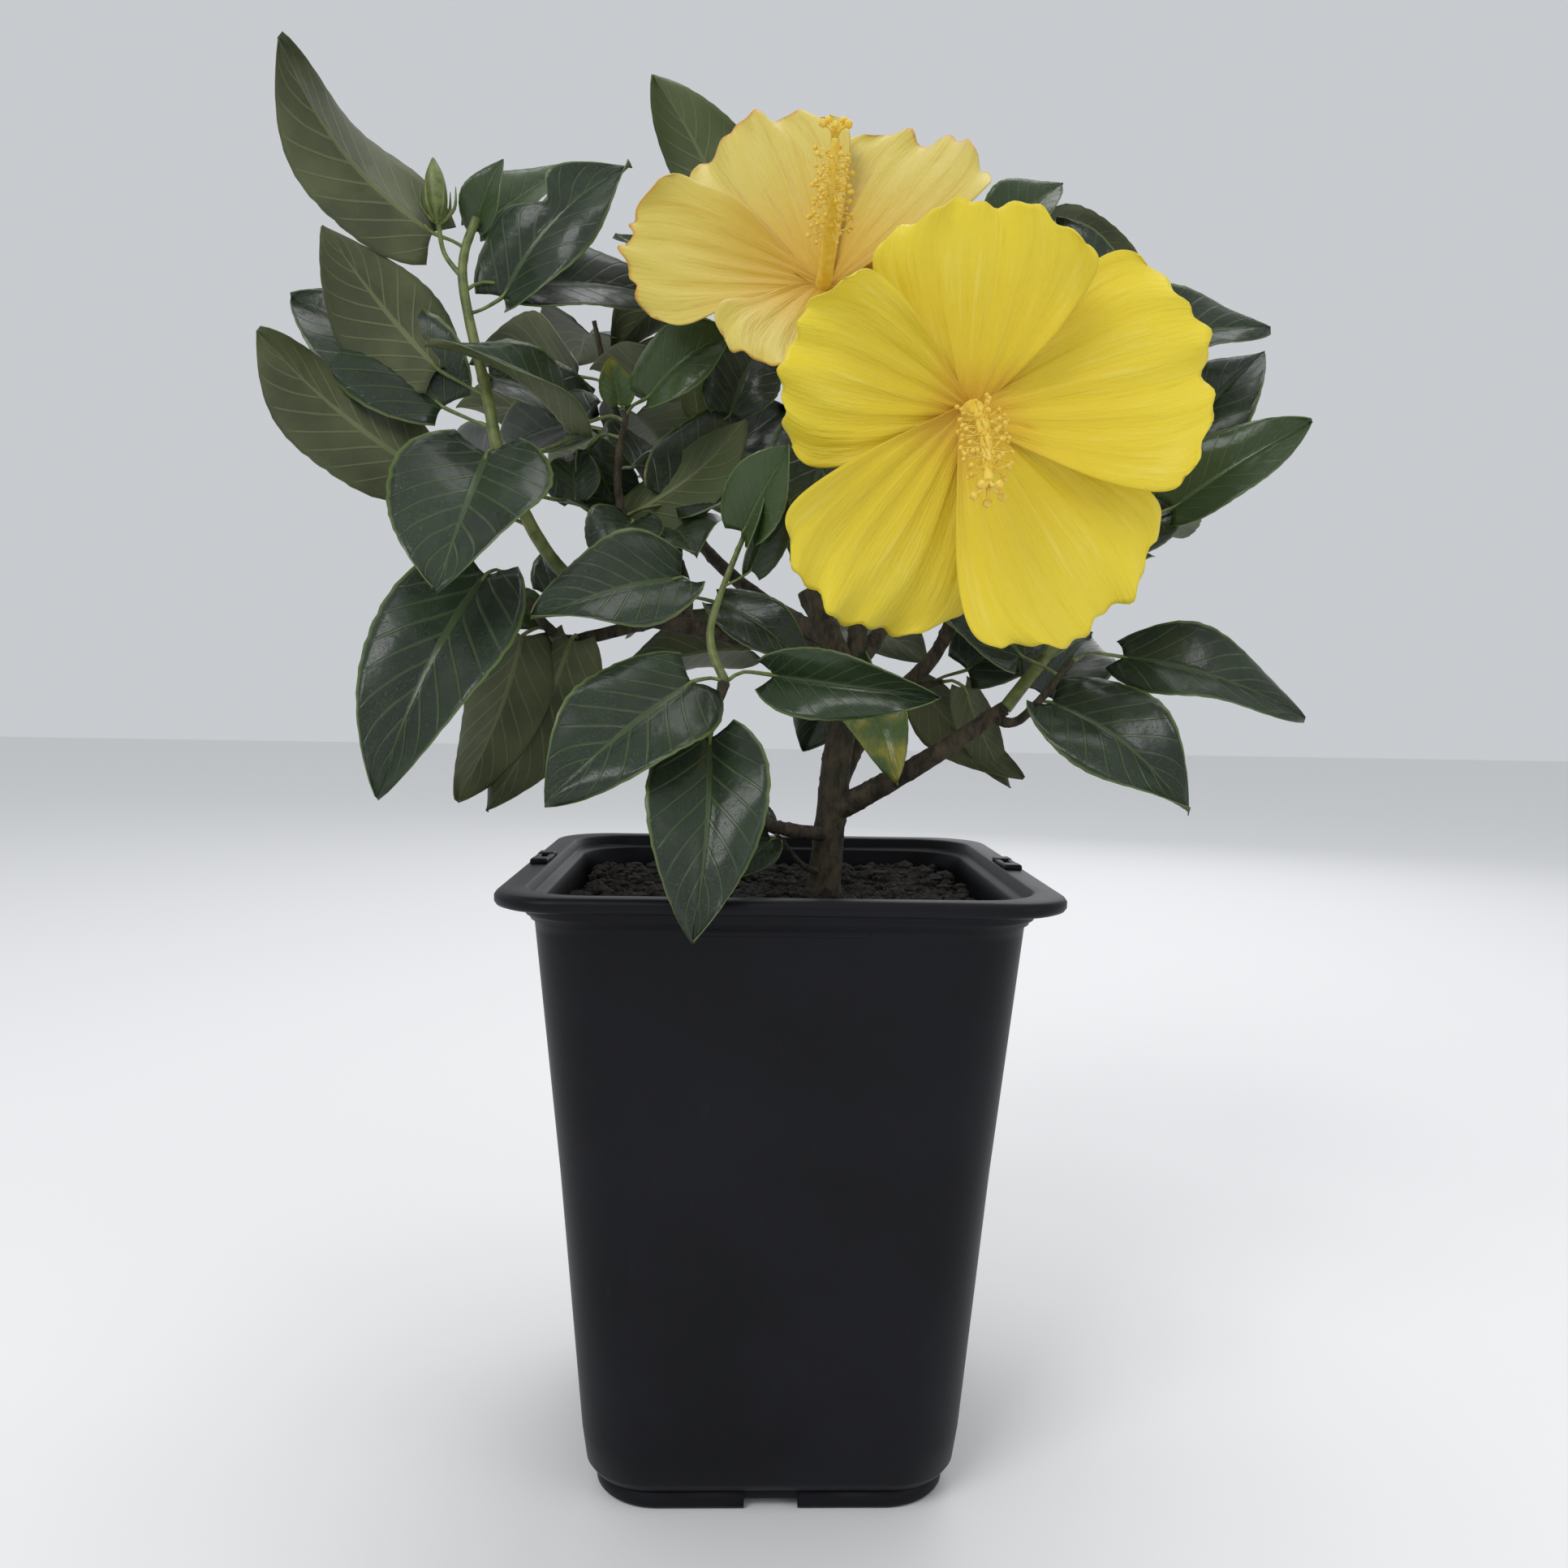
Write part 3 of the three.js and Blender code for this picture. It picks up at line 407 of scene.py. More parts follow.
def petal_skin():
    paint = Paint("petal")
    across, along = paint.flat()
    place, tone = paint.place(), paint.tone()
    fan = paint.node("ShaderNodeCombineXYZ")
    paint.feed(fan.inputs[0], paint.calc("MULTIPLY", across, 26))
    paint.feed(fan.inputs[1], paint.calc("MULTIPLY", along, 2.2))
    streak = paint.noise(fan.outputs[0], 1.0, 4, 0.6)
    lemon = paint.mix(paint.fade(along, 0.35, 1.0), (0.73, 0.54, 0.010), (0.78, 0.62, 0.022))
    lemon = paint.mix(paint.fade(along, 0.34, 0.02), lemon, (0.64, 0.34, 0.006))
    lemon = paint.mix(paint.calc("MULTIPLY", paint.fade(streak, 0.52, 0.72), 0.4), lemon, (0.82, 0.7, 0.12))
    groove = paint.calc("MULTIPLY", paint.fade(streak, 0.45, 0.28), 0.35)
    lemon = paint.mix(groove, lemon, (0.66, 0.44, 0.01))
    faded = paint.mix(paint.fade(along, 0.05, 0.85), (0.62, 0.36, 0.015), (0.62, 0.5, 0.085))
    faded = paint.mix(paint.calc("MULTIPLY", paint.fade(streak, 0.5, 0.3), 0.5), faded, (0.54, 0.33, 0.02))
    faded = paint.mix(paint.fade(along, 0.97, 1.0), faded, (0.62, 0.32, 0.03))
    skin = paint.mix(tone, lemon, faded)
    height = paint.calc("MULTIPLY_ADD", paint.noise(place, 160, 3), 0.35, streak)
    paint.relief(height, 0.0011, 0.8)
    return paint.done(skin, 0.5, Sheen_Weight=0.15)


def plain_skin(name, dark, light, scale, rough, depth):
    """A skin mottled between two colours, with fine relief."""
    paint = Paint(name)
    grain = paint.noise(paint.place(), scale, 5, 0.6)
    paint.relief(grain, depth, 0.8)
    return paint.done(paint.mix(paint.fade(grain, 0.3, 0.7), dark, light), rough)


def bark_skin():
    paint = Paint("bark")
    place = paint.place()
    plates = paint.noise(paint.stretch(place, (1, 1, 0.45)), 260, 6, 0.7)
    spots = paint.node("ShaderNodeTexVoronoi")
    paint.feed(spots.inputs["Vector"], paint.stretch(place, (330, 330, 240)))
    pore = paint.fade(spots.outputs["Distance"], 0.32, 0.12)
    brown = paint.mix(paint.fade(plates, 0.35, 0.65), (0.014, 0.011, 0.006), (0.082, 0.064, 0.038))
    moss = paint.fade(paint.noise(place, 30, 3), 0.5, 0.7)
    brown = paint.mix(paint.calc("MULTIPLY", moss, 0.35), brown, (0.05, 0.055, 0.02))
    brown = paint.mix(paint.calc("MULTIPLY", pore, 0.6), brown, (0.2, 0.165, 0.11))
    paint.relief(paint.calc("ADD", plates, paint.calc("MULTIPLY", pore, 0.5)), 0.0016, 0.9)
    return paint.done(brown, 0.85)


def pot_skin():
    paint = Paint("pot_plastic")
    place = paint.place()
    grain = paint.noise(place, 900, 3, 0.6)
    cloud = paint.noise(place, 14, 4, 0.55)
    scuffs = paint.noise(paint.stretch(place, (30, 30, 6)), 6, 5, 0.7)
    black = paint.mix(paint.fade(cloud, 0.35, 0.7), (0.0045, 0.0047, 0.0065), (0.0078, 0.008, 0.0115))
    scuffed = paint.calc("MULTIPLY", paint.fade(scuffs, 0.62, 0.8), 0.35)
    black = paint.mix(scuffed, black, (0.022, 0.023, 0.028))
    paint.relief(grain, 0.00008, 0.5)
    return paint.done(black, paint.calc("MULTIPLY_ADD", cloud, 0.16, 0.36), Specular_IOR_Level=0.15)


SKINS = {
    "upper": leaf_upper(), "lower": leaf_lower(), "petal": petal_skin(), "bark": bark_skin(),
    "green": plain_skin("green_stem", (0.07, 0.095, 0.02), (0.16, 0.19, 0.05), 190, 0.5, 0.0004),
    "stalk": plain_skin("leaf_stalk", (0.06, 0.09, 0.018), (0.17, 0.21, 0.055), 220, 0.45, 0.0002),
    "column": plain_skin("column", (0.80, 0.52, 0.03), (0.86, 0.68, 0.14), 260, 0.5, 0.0002),
    "anther": plain_skin("anther", (0.78, 0.47, 0.03), (0.88, 0.66, 0.12), 900, 0.7, 0.0003),
    "pot": pot_skin(),
    "compost": plain_skin("compost", (0.005, 0.0045, 0.004), (0.03, 0.024, 0.019), 420, 0.95, 0.002),
}


# ---------------------------------------------------------------- mesh helpers
def add_piece(name, bm, skins, replaced=(), smooth=True):
    """Closes off a bmesh as one piece that rides on the plant, and hides the CAD parts that it replaces."""
    mesh = bpy.data.meshes.new(name)
    for face in bm.faces:
        face.smooth = smooth
    bm.to_mesh(mesh)
    bm.free()
    piece = bpy.data.objects.new(name, mesh)
    bpy.context.scene.collection.objects.link(piece)
    for skin in skins:
        mesh.materials.append(SKINS[skin])
    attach(piece, "root")
    if replaced:
        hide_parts(*replaced)
    return piece


def run(stations, step):
    """A smooth path through the stations, as (place, radius) every `step` mm or so."""
    points = [Vector(station) for station in stations]
    path = []
    for i in range(len(points) - 1):
        before = points[max(i - 1, 0)]
        after = points[min(i + 2, len(points) - 1)]
        a, b = points[i], points[i + 1]
        count = max(1, round((b - a).length / step))
        for k in range(count):
            t = k / count
            path.append(0.5 * (2 * a + (b - before) * t + (2 * before - 5 * a + 4 * b - after) * t * t
                               + (3 * a - before - 3 * b + after) * t ** 3))
    path.append(points[-1])
    return [(point.to_3d() if len(point) == 3 else Vector(point[:3]), point[3]) for point in path]


def tube(bm, path, sides):
    """A round tube along the path, closed at both ends. It returns its vertices."""
    places = [place for place, _ in path]
    ways = [(places[min(i + 1, len(places) - 1)] - places[max(i - 1, 0)]).normalized()
            for i in range(len(places))]
    across = ways[0].orthogonal().normalized()
    frames = []
    for i, (place, radius) in enumerate(path):
        if i:
            across = ways[i - 1].rotation_difference(ways[i]) @ across
        turn = Matrix((across, ways[i].cross(across), ways[i])).transposed().to_4x4()
        frames.append(Matrix.Translation(place * MM) @ turn @ Matrix.Scale(max(radius, 0.05) * MM, 4))
    ring = bmesh.ops.create_circle(bm, segments=sides, radius=1)["verts"]
    bmesh.ops.transform(bm, matrix=frames[0], verts=ring)
    edges = list({edge for vert in ring for edge in vert.link_edges})
    first, made = edges, list(ring)
    for i in range(1, len(frames)):
        new = bmesh.ops.extrude_edge_only(bm, edges=edges)["geom"]
        ring = [item for item in new if isinstance(item, bmesh.types.BMVert)]
        edges = [item for item in new if isinstance(item, bmesh.types.BMEdge)]
        bmesh.ops.transform(bm, matrix=frames[i] @ frames[i - 1].inverted(), verts=ring)
        made += ring
    bmesh.ops.holes_fill(bm, edges=first + edges, sides=sides)
    return made


# ---------------------------------------------------------------- limbs
def roughen(vert, middle, gain):
    """Moves a vertex out from its limb's middle line by the bark's lumps and pores."""
    spot = vert.co
    lump = noise.noise(spot * 90) * 0.9 + noise.noise(spot * 260) * 0.5
    pore = max(0.0, noise.noise(spot * 520) - 0.25) * 1.6
    vert.co = spot + (spot - middle).normalized() * (lump * 0.5 + pore) * gain * MM


def limb(name, stations, thick):
    sides = 28 if thick else 18
    path = run(stations, 1.3 if thick else 1.8)
    bm = bmesh.new()
    verts = tube(bm, path, sides)
    green = name in GREEN_LIMBS
    for i, vert in enumerate(verts):
        middle = path[min(i // sides, len(path) - 1)][0] * MM
        roughen(vert, middle, 0.25 if green else 0.85)
    bmesh.ops.recalc_face_normals(bm, faces=bm.faces)
    skin, slot = ("green", "green_stem") if green else ("bark", "bark")
    replaced = [name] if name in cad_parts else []
    add_piece("limb_" + name, bm, [skin], replaced)


# ---------------------------------------------------------------- leaves
LEAF_ACROSS, LEAF_ALONG = 14, 30
BITE, BITE_AT, BITE_LENGTH = 0.6, 0.55, 0.09   # shares of a bitten leaf's half width and length


def leaf_width(v):
    """Half the width, as a share of the widest, from the rounded base to the drawn-out tip."""
    v = 0.03 + 0.97 * v
    return (v / 0.36) ** 0.5 * (max(0.0, 1 - v) / 0.64) ** (0.5 * 0.64 / 0.36)


def leaf(bm, spec, rng):
    kind, _, foot, turn, rise, length, width = spec
    along = heading(turn, rise)
    look = BACK_LOOK if foot.y > BACK_FROM else FRONT_LOOK
    side = look.cross(along).normalized()
    side = Matrix.Rotation(math.radians(ROLL.get(kind, 0)), 3, along) @ side
    if kind == "u":
        side = -side
    face = along.cross(side)
    grid = bmesh.ops.create_grid(bm, x_segments=LEAF_ACROSS, y_segments=LEAF_ALONG, size=1, calc_uvs=True)
    tones = bm.verts.layers.float["tone"]
    tone = {"g": rng.uniform(0.0, 0.35), "m": rng.uniform(0.5, 0.75), "u": rng.uniform(0.1, 0.5),
            "y": rng.uniform(0.85, 0.9), "f": rng.uniform(0.4, 0.6), "b": rng.uniform(0.3, 0.5)}[kind]
    arch = rng.uniform(0.04, 0.1)
    droop = rng.uniform(0.0, 0.13)
    wave = rng.uniform(0.05, 0.11)
    phase = rng.uniform(0, 6.3)
    crook = rng.uniform(-0.1, 0.1)
    tilt = math.radians(FOLD[kind])
    for vert in grid["verts"]:
        u, v = -vert.co.x, (vert.co.y + 1) / 2
        half = width / 2 * leaf_width(v) * (1 + 0.025 * abs(math.sin(v * 34)) * abs(u) ** 6)
        if kind == "b" and u > 0:
            half *= 1 - BITE * math.exp(-((v - BITE_AT) / BITE_LENGTH) ** 2)
        reach = half * u
        lobe = 0.07 * length * abs(u) ** 1.5 * (1 - v) ** 8
        droop_here = arch * math.sin(math.pi * v) - droop * v ** 3
        vein = abs(((v - 0.32 * abs(u) ** 0.8) * 8) % 1 - 0.5)
        pucker = 0.35 * math.sin(math.pi * min(1, vein * 2.4)) * (1 - abs(u) ** 4) - 0.5 * (1 - abs(u)) ** 8
        up = (droop_here * length + abs(reach) * math.sin(tilt) * (1 - 0.3 * abs(u))
              + wave * width * abs(u) ** 3 * math.sin(7 * v + phase + (1.7 if u > 0 else 0))
              + pucker * min(1, width / 30))
        vert.co = (foot + along * (v * length - lobe) + face * up
                   + side * (reach * math.cos(tilt * 0.8) + crook * length * v * v)) * MM
        vert[tones] = tone


def nearest(stations, spot):
    return min((place for place, _ in run(stations, 3)), key=lambda place: (place - spot).length)


def leaf_stalk(bm, stations, spec, rng):
    _, root, foot, turn, rise, length, _ = spec
    root = nearest(stations, root)
    reach = (foot - root).length
    along = heading(turn, rise)
    mid = root.lerp(foot, 0.5) - along * reach * 0.12 + Vector((0, 0, reach * rng.uniform(0.0, 0.12)))
    thick = 0.75 if length > 40 else 0.5
    end = foot + along * min(4, length * 0.08)
    stations = [[*root, thick * 1.5], [*root.lerp(mid, 0.25), thick], [*mid, thick * 0.85],
                [*foot, thick * 1.05], [*end, thick * 0.7]]
    tube(bm, run(stations, 2.5), 8)


def foliage(name, mass):
    rng = random.Random(name)
    leaves = placed_leaves(mass)
    bm = bmesh.new()
    bm.loops.layers.uv.new("flat")
    bm.verts.layers.float.new("tone")
    for spec in leaves:
        leaf(bm, spec, rng)
    piece = add_piece("leaves_" + name[8:], bm, ["upper", "lower"], [name])
    skin = piece.modifiers.new("thickness", "SOLIDIFY")
    skin.thickness = 0.35 * MM
    skin.offset = -1
    skin.material_offset = 1
    bm = bmesh.new()
    for spec in leaves:
        leaf_stalk(bm, PATHS[mass["limb"]], spec, rng)
    bmesh.ops.recalc_face_normals(bm, faces=bm.faces)
    add_piece("stalks_" + name[8:], bm, ["stalk"])


# ---------------------------------------------------------------- blooms
PETAL_ACROSS, PETAL_ALONG = 44, 40
ANTHERS = 85
GOLDEN_TURN = 2.39996                  # radians


def bloom_basis(tilt):
    """The way a bloom looks, its right and its up."""
    tilt = math.radians(tilt)
    out = Vector((0, -math.cos(tilt), math.sin(tilt)))
    right = Vector((1, 0, 0))
    return out, right, right.cross(-out)


def petal(bm, spec, flare, basis, throat, fade, rng):
    angle, length, width = spec
    out, right, up = basis
    ray = right * math.cos(math.radians(angle)) + up * math.sin(math.radians(angle))
    side = ray.cross(out)
    grid = bmesh.ops.create_grid(bm, x_segments=PETAL_ACROSS, y_segments=PETAL_ALONG, size=1, calc_uvs=True)
    tones = bm.verts.layers.float["tone"]
    phase = rng.uniform(0, 6.3)
    skew = rng.uniform(-0.04, 0.04)
    for vert in grid["verts"]:
        u, v = vert.co.x, (vert.co.y + 1) / 2
        spread = 0.1 + 0.9 * math.sin(min(1, v * 1.02) ** 0.85 * math.pi / 2) ** 1.25
        corner = 1 - 0.16 * v ** 7
        across = width / 2 * u * spread * corner
        edge = 1 - 0.2 * abs(u) ** 2.4 * v ** 2 + 0.018 * math.sin(9 * u + phase) * v ** 5
        edge += 0.012 * math.sin(23 * u + phase * 2) * v ** 8
        reach = length * v * edge
        lift = flare * length * (v ** 0.75 - 0.35 * v ** 3)
        rim = v ** 4
        ruffle = 2.9 * math.sin(5.2 * u + phase) * rim + 2.0 * math.sin(13 * u - phase) * rim * v * v
        ruffle += 1.6 * math.sin(11 * v + phase) * abs(u) ** 4
        pleat = 0.45 * math.sin(19 * u + 2 * math.sin(3 * v)) * math.sin(math.pi * min(1, v * 1.05)) ** 0.7
        overlap = 0.2 * across * (0.35 + v)
        hollow = -0.05 * length * (1 - u * u) * math.sin(math.pi * v)
        vert.co = (throat + ray * (reach + skew * across) + side * across
                   + out * (lift + ruffle + pleat + overlap + hollow)) * MM
        vert[tones] = fade


def ball(bm, place, radius):
    made = bmesh.ops.create_icosphere(bm, subdivisions=1, radius=radius * MM)["verts"]
    bmesh.ops.translate(bm, vec=place * MM, verts=made)


def column(name, stations, rng):
    """The staminal column with its anthers on short threads, and five stigma pads at the end."""
    path = run(stations, 1.5)
    bm = bmesh.new()
    tube(bm, path, 14)
    heads = bmesh.new()
    count = len(path)
    for i in range(ANTHERS):
        share = 0.42 + 0.5 * (i / ANTHERS)
        place, radius = path[int(share * (count - 1))]
        way = (path[min(int(share * (count - 1)) + 1, count - 1)][0] - place).normalized()
        away = (way.orthogonal().normalized())
        away = Matrix.Rotation(i * GOLDEN_TURN + rng.uniform(-0.3, 0.3), 3, way) @ away
        reach = rng.uniform(3.2, 6.4)
        tip = place + away * (radius + reach) + way * rng.uniform(0.5, 2.2)
        tube(bm, [(place, 0.3), (place.lerp(tip, 0.5) + way * 0.4, 0.22), (tip, 0.2)], 5)
        ball(heads, tip, rng.uniform(0.75, 1.05))
    tip, way = path[-1][0], (path[-1][0] - path[-3][0]).normalized()
    for k in range(5):
        away = Matrix.Rotation(k * math.tau / 5, 3, way) @ way.orthogonal().normalized()
        pad = tip + way * 4.5 + away * 4.6
        tube(bm, [(tip - way, 0.8), (tip + way * 2.6 + away * 1.6, 0.6), (pad, 0.55)], 8)
        ball(heads, pad, 1.7)
    bmesh.ops.recalc_face_normals(bm, faces=bm.faces)
    add_piece("column_" + name[6:], bm, ["column"])
    add_piece("anthers_" + name[6:], heads, ["anther"])


def calyx(name, first_petal, throat, basis):
    """The green cup behind the petals, with five pointed sepals and the thin bracts below it."""
    out, right, up = basis
    bm = bmesh.new()
    back = throat - out * 13
    cup = [[*(back - out * 3), 1.2], [*back, 3.6], [*(back + out * 5), 5.4], [*(throat - out * 2), 6.2]]
    tube(bm, run(cup, 1.2), 20)
    for k in range(5):
        angle = math.radians(first_petal + 36 + 72 * k)
        ray = right * math.cos(angle) + up * math.sin(angle)
        tube(bm, run([[*(back + out * 4 + ray * 4.6), 2.4], [*(throat - out * 3 + ray * 8), 2.2],
                      [*(throat + out * 1 + ray * 14), 0.3]], 1.2), 8)
        ray = right * math.cos(angle + 0.6) + up * math.sin(angle + 0.6)
        tube(bm, run([[*(back - out * 1 + ray * 2), 0.9], [*(back + out * 2 + ray * 8), 0.7],
                      [*(back + out * 6 + ray * 12), 0.15]], 1.2), 6)
    bmesh.ops.recalc_face_normals(bm, faces=bm.faces)
    add_piece("calyx_" + name[6:], bm, ["stalk"])


def bloom(name, plan):
    rng = random.Random(name)
    basis = bloom_basis(plan["tilt"])
    bm = bmesh.new()
    bm.loops.layers.uv.new("flat")
    bm.verts.layers.float.new("tone")
    throat = place_at(PATHS[plan["limb"]], 1)
    for spec in plan["petals"]:
        petal(bm, spec, plan["flare"], basis, throat, plan["fade"], rng)
    piece = add_piece("petals_" + name[6:], bm, ["petal"], [name])
    skin = piece.modifiers.new("thickness", "SOLIDIFY")
    skin.thickness = 0.4 * MM
    skin.offset = -1
    column(name, walk(throat, plan["column"], *COLUMN), rng)
    calyx(name, plan["petals"][0][0], throat, basis)


def bud():
    """A closed flower bud beside the top shoot, on a curved stalk, with its slim bracts."""
    root = place_at(PATHS["stem_upper_left"], 0.87)
    foot = root + Vector((-9, 0, 20))
    bm = bmesh.new()
    tube(bm, run([[*root, 1.1], [*(foot + Vector((2, 1, -11))), 0.9], [*foot, 1]], 2), 8)
    profile = ((-1, 1.2), (3, 3.4), (10, 4.2), (17, 3.2), (23, 0.5))
    tube(bm, run([[*(foot + Vector((-0.08 * up, 0, up))), radius] for up, radius in profile], 1), 16)
    for k in range(6):
        angle = k * math.tau / 6
        away = Vector((math.cos(angle), math.sin(angle), 0))
        tube(bm, run([[*(foot + away * 1.5), 0.8], [*(foot + away * 6 + Vector((0, 0, 5))), 0.7],
                      [*(foot + away * 6.5 + Vector((0, 0, 13))), 0.15]], 1.5), 6)
    bmesh.ops.recalc_face_normals(bm, faces=bm.faces)
    add_piece("bud", bm, ["stalk"])


# ---------------------------------------------------------------- pot
def square_plan(segments, half, corner, z):
    """The pot's plan at one height: points round a square whose corners are arcs."""
    quarter = segments // 4
    radius = min(corner, half * 0.45)
    inset = (half - radius) * math.sqrt(2)
    places = []
    for i in range(segments):
        side, step = divmod(i, quarter)
        arc = (side + step / (quarter - 1)) * math.pi / 2
        middle = (side + 0.5) * math.pi / 2
        places.append(Vector((inset * math.cos(middle) + radius * math.cos(arc),
                              inset * math.sin(middle) + radius * math.sin(arc), z)) * MM)
    return places


def loft(bm, profile, segments, corner):
    """Draws the square plan along a profile of (half width, height) into one closed shell."""
    def key(place):
        return tuple(round(part, 9) for part in place)

    ring = bmesh.ops.create_circle(bm, segments=segments, radius=1)["verts"]
    places = square_plan(segments, profile[0][0], corner, profile[0][1])
    for vert, place in zip(ring, places):
        vert.co = place
    edges = list({edge for vert in ring for edge in vert.link_edges})
    first = edges
    for half, z in profile[1:]:
        order = {key(vert.co.copy()): i for i, vert in enumerate(ring)}
        extruded = bmesh.ops.extrude_edge_only(bm, edges=edges)["geom"]
        fresh = [item for item in extruded if isinstance(item, bmesh.types.BMVert)]
        edges = [item for item in extruded if isinstance(item, bmesh.types.BMEdge)]
        places = square_plan(segments, half, corner, z)
        ring = [None] * segments
        for vert in fresh:
            i = order[key(vert.co)]
            ring[i] = vert
        for vert, place in zip(ring, places):
            vert.co = place
    bmesh.ops.holes_fill(bm, edges=first + edges, sides=segments)


def block(bm, size, middle, soft=0.5):
    """A small block with softened edges."""
    made = bmesh.ops.create_cube(bm, size=1)["verts"]
    bmesh.ops.scale(bm, vec=Vector(size) * MM, verts=made)
    bmesh.ops.translate(bm, vec=Vector(middle) * MM, verts=made)
    edges = list({edge for vert in made for edge in vert.link_edges})
    bmesh.ops.bevel(bm, geom=edges, offset=soft * MM, offset_type="OFFSET", affect="EDGES", segments=3,
                    profile=0.5, material=-1)


HALF_NOTCH = 10                        # mm, half the gap between two of the foot's corner pads
OUTLINE_RIM = 221                      # mm, the rim's height in the pot's outline
OUTLINE_WAIST = 100                    # mm; the outline hangs from the rim above it, stands on the foot below


def pot():
    low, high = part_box("pot")
    rim = (high.x - low.x) / MM / 2
    top = RIM_TOP
    outside = [(0.5, 0), (58, 0), (65, 0.3), (68.6, 1.8), (70.2, 5), (71.8, 18), (79.5, 114), (87.6, 205),
               (88, 209.2), (89.2, 209.6), (89.6, 211), (90.6, 211.5), (91, 212.4), (91, 215.2),
               (91.6, 215.8), (98.4, 215.8), (99.4, 216.3), (rim, 217.4), (rim, 219.4),
               (99.3, 220.5), (98.2, 221)]
    inside = [(91, 221), (90, 220.4), (89.4, 217.2), (88.6, 216.4), (86.2, 216), (85.5, 215.2),
              (85.2, 209), (80, 145), (68.2, 7), (66, 4), (60, 3), (0.5, 3)]
    profile = [(half, z + (top - OUTLINE_RIM if z > OUTLINE_WAIST else FOOT)) for half, z in outside + inside]
    bm = bmesh.new()
    loft(bm, profile, 96, 24)
    plate = [(0.5, FOOT - 3.4), (65, FOOT - 3.4), (65.6, FOOT - 3), (65.8, FOOT + 0.4), (0.5, FOOT + 0.4)]
    loft(bm, plate, 48, 24)
    corner_pad = [(0.5, 0), (64.6, 0), (66, 0.5), (66.6, 1.6), (66.6, FOOT + 0.3), (0.5, FOOT + 0.3)]
    for angle in range(0, 360, 90):
        pad = bmesh.new()
        loft(pad, corner_pad, 96, 24)
        for way in (Vector((1, 0, 0)), Vector((0, 1, 0))):
            everything = pad.verts[:] + pad.edges[:] + pad.faces[:]
            cut = bmesh.ops.bisect_plane(pad, geom=everything, plane_co=way * HALF_NOTCH * MM, plane_no=way,
                                         clear_inner=True)["geom_cut"]
            rim_edges = [item for item in cut if isinstance(item, bmesh.types.BMEdge)]
            bmesh.ops.holes_fill(pad, edges=rim_edges, sides=0)
        bmesh.ops.rotate(pad, cent=(0, 0, 0), matrix=Matrix.Rotation(math.radians(angle), 3, "Z"),
                         verts=pad.verts)
        part = bpy.data.meshes.new("part")
        pad.to_mesh(part)
        pad.free()
        bm.from_mesh(part)
        bpy.data.meshes.remove(part)
    for side in (-1, 1):
        for y in (-10, 10):
            block(bm, (7, 8, 2.8), (side * 94.6, y, top + 0.6), 0.9)
        block(bm, (2.4, 14, 2.4), (side * 97, 0, top + 0.4), 0.8)
        block(bm, (2.4, 14, 2.4), (side * 92.2, 0, top + 0.4), 0.8)
    block(bm, (60, 5, 3.4), (0, -86.6, top - 12.4), 1)
    bmesh.ops.recalc_face_normals(bm, faces=bm.faces)
    add_piece("pot_shell", bm, ["pot"], ["pot"])


# ---------------------------------------------------------------- compost
BED_CELLS, CRUMBS = 110, 2600


def compost():
    low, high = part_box("soil")
    half = (high.x - low.x) / 2 - 0.0006
    level = SOIL_TOP * MM
    rng = random.Random("compost")
    bm = bmesh.new()
    grid = bmesh.ops.create_grid(bm, x_segments=BED_CELLS, y_segments=BED_CELLS, size=1)["verts"]
    for vert in grid:
        u, v = vert.co.x, vert.co.y
        shrink = 1 - 0.06 * min(abs(u), abs(v)) ** 4
        x, y = u * half * shrink, v * half * shrink
        lumps = noise.noise((x * 60, y * 60, 1)) * 2.4 + noise.noise((x * 190, y * 190, 5)) * 1.7
        lumps += noise.noise((x * 460, y * 460, 9)) * 1.2
        edge = max(abs(u), abs(v)) ** 12
        vert.co = Vector((x, y, level + (lumps + 0.6 - 4 * edge) * MM))
    skirt = bmesh.ops.extrude_edge_only(bm, edges=[edge for edge in bm.edges if edge.is_boundary])["geom"]
    ring = [item for item in skirt if isinstance(item, bmesh.types.BMVert)]
    for vert in ring:
        vert.co.z = level - 0.012
        vert.co.x *= 0.985
        vert.co.y *= 0.985
    bmesh.ops.holes_fill(bm, edges=[e for e in skirt if isinstance(e, bmesh.types.BMEdge)], sides=0)
    bmesh.ops.recalc_face_normals(bm, faces=bm.faces)
    add_piece("compost_bed", bm, ["compost"], ["soil"])
    crumbs = bmesh.new()
    for _ in range(CRUMBS):
        x, y = (rng.uniform(-0.96, 0.96) * half for _ in range(2))
        size = rng.choice((0.7, 0.9, 1.2, 1.6, 2.4, 3.4)) * rng.uniform(0.7, 1.2)
        made = bmesh.ops.create_icosphere(crumbs, subdivisions=1, radius=size * MM)["verts"]
        spot = Vector((x, y, level + (rng.uniform(-0.2, 1.6) + 0.2 * size) * MM))
        for vert in made:
            vert.co *= 1 + 0.5 * noise.noise(vert.co * 700 + spot * 900)
            vert.co.z *= 0.8
        bmesh.ops.translate(crumbs, vec=spot, verts=made)
    add_piece("compost_crumbs", crumbs, ["compost"], smooth=False)


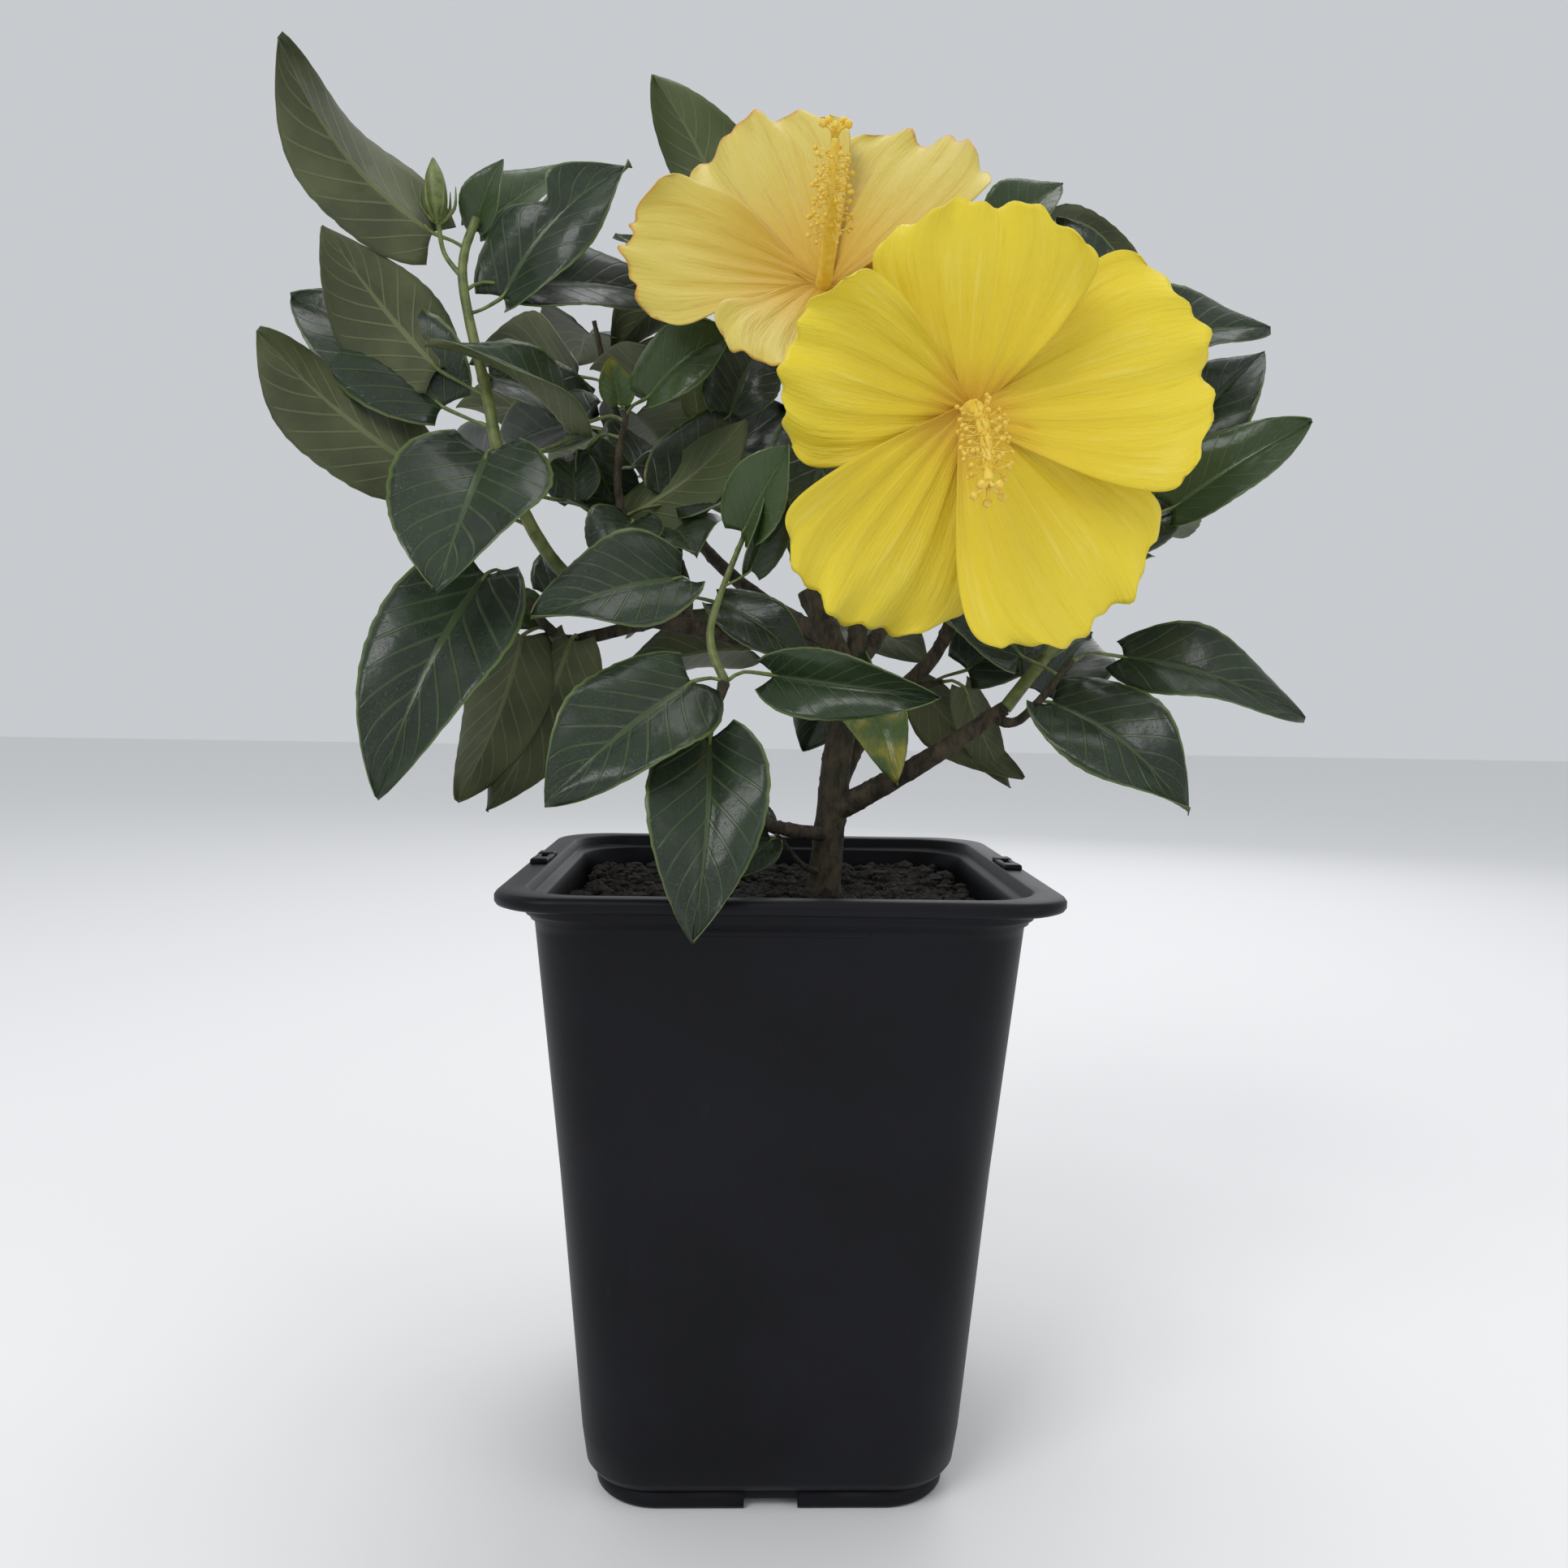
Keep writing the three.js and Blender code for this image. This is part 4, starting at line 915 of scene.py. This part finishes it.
# ---------------------------------------------------------------- studio
# Each lamp's name, place and size in metres, and power in watts.
LAMPS = (("key", (-0.9, -1.3, 1.7), 0.9, 15), ("fill", (1.5, -1.2, 0.9), 1.0, 4),
         ("top", (0.2, 0.5, 2.2), 1.2, 12), ("back", (0.6, 1.8, 1.1), 1.2, 5))
LAMPS_AIM = Vector((0, 0, 0.35))
SKY_COLOUR, SKY_STRENGTH = (0.93, 0.96, 1.0, 1), 0.62
VIEW_TURN, VIEW_DROP, VIEW_ROLL = -1.9, 4.2, 1.0   # degrees
VIEW_PLACE = (-0.0151, -0.5298, 0.297 + FOOT * MM)


def studio():
    bpy.ops.mesh.primitive_plane_add(size=12)
    floor = bpy.context.object
    floor.name = "floor"
    paint = Paint("floor_pale")
    floor.data.materials.append(paint.done((0.86, 0.86, 0.86, 1), 0.7))
    world = bpy.data.worlds.new("studio")
    bpy.context.scene.world = world
    world.use_nodes = True
    sky = world.node_tree.nodes["Background"]
    sky.inputs[0].default_value = SKY_COLOUR
    sky.inputs[1].default_value = SKY_STRENGTH
    for name, place, size, power in LAMPS:
        data = bpy.data.lights.new(name, "AREA")
        data.size, data.energy = size, power
        light = bpy.data.objects.new(name, data)
        bpy.context.scene.collection.objects.link(light)
        light.location = place
        light.rotation_euler = (LAMPS_AIM - Vector(place)).to_track_quat("-Z", "Y").to_euler()


def camera():
    data = bpy.data.cameras.new("camera")
    data.lens, data.sensor_width = 30, 36
    view = bpy.data.objects.new("camera", data)
    bpy.context.scene.collection.objects.link(view)
    turn = (Matrix.Rotation(math.radians(VIEW_TURN), 4, "Z")
            @ Matrix.Rotation(math.radians(90 - VIEW_DROP), 4, "X")
            @ Matrix.Rotation(math.radians(VIEW_ROLL), 4, "Z"))
    view.matrix_world = Matrix.Translation(VIEW_PLACE) @ turn
    bpy.context.scene.camera = view
    bpy.context.scene.view_settings.view_transform = "Standard"


camera()
studio()
pot()
compost()
for limb_name, limb_stations in PATHS.items():
    limb(limb_name, limb_stations, limb_name in ("trunk", "bough_right", "bough_left"))
for mass_name, mass_plan in MASSES.items():
    foliage(mass_name, mass_plan)
for bloom_name, bloom_plan in BLOOMS.items():
    bloom(bloom_name, bloom_plan)
bud()
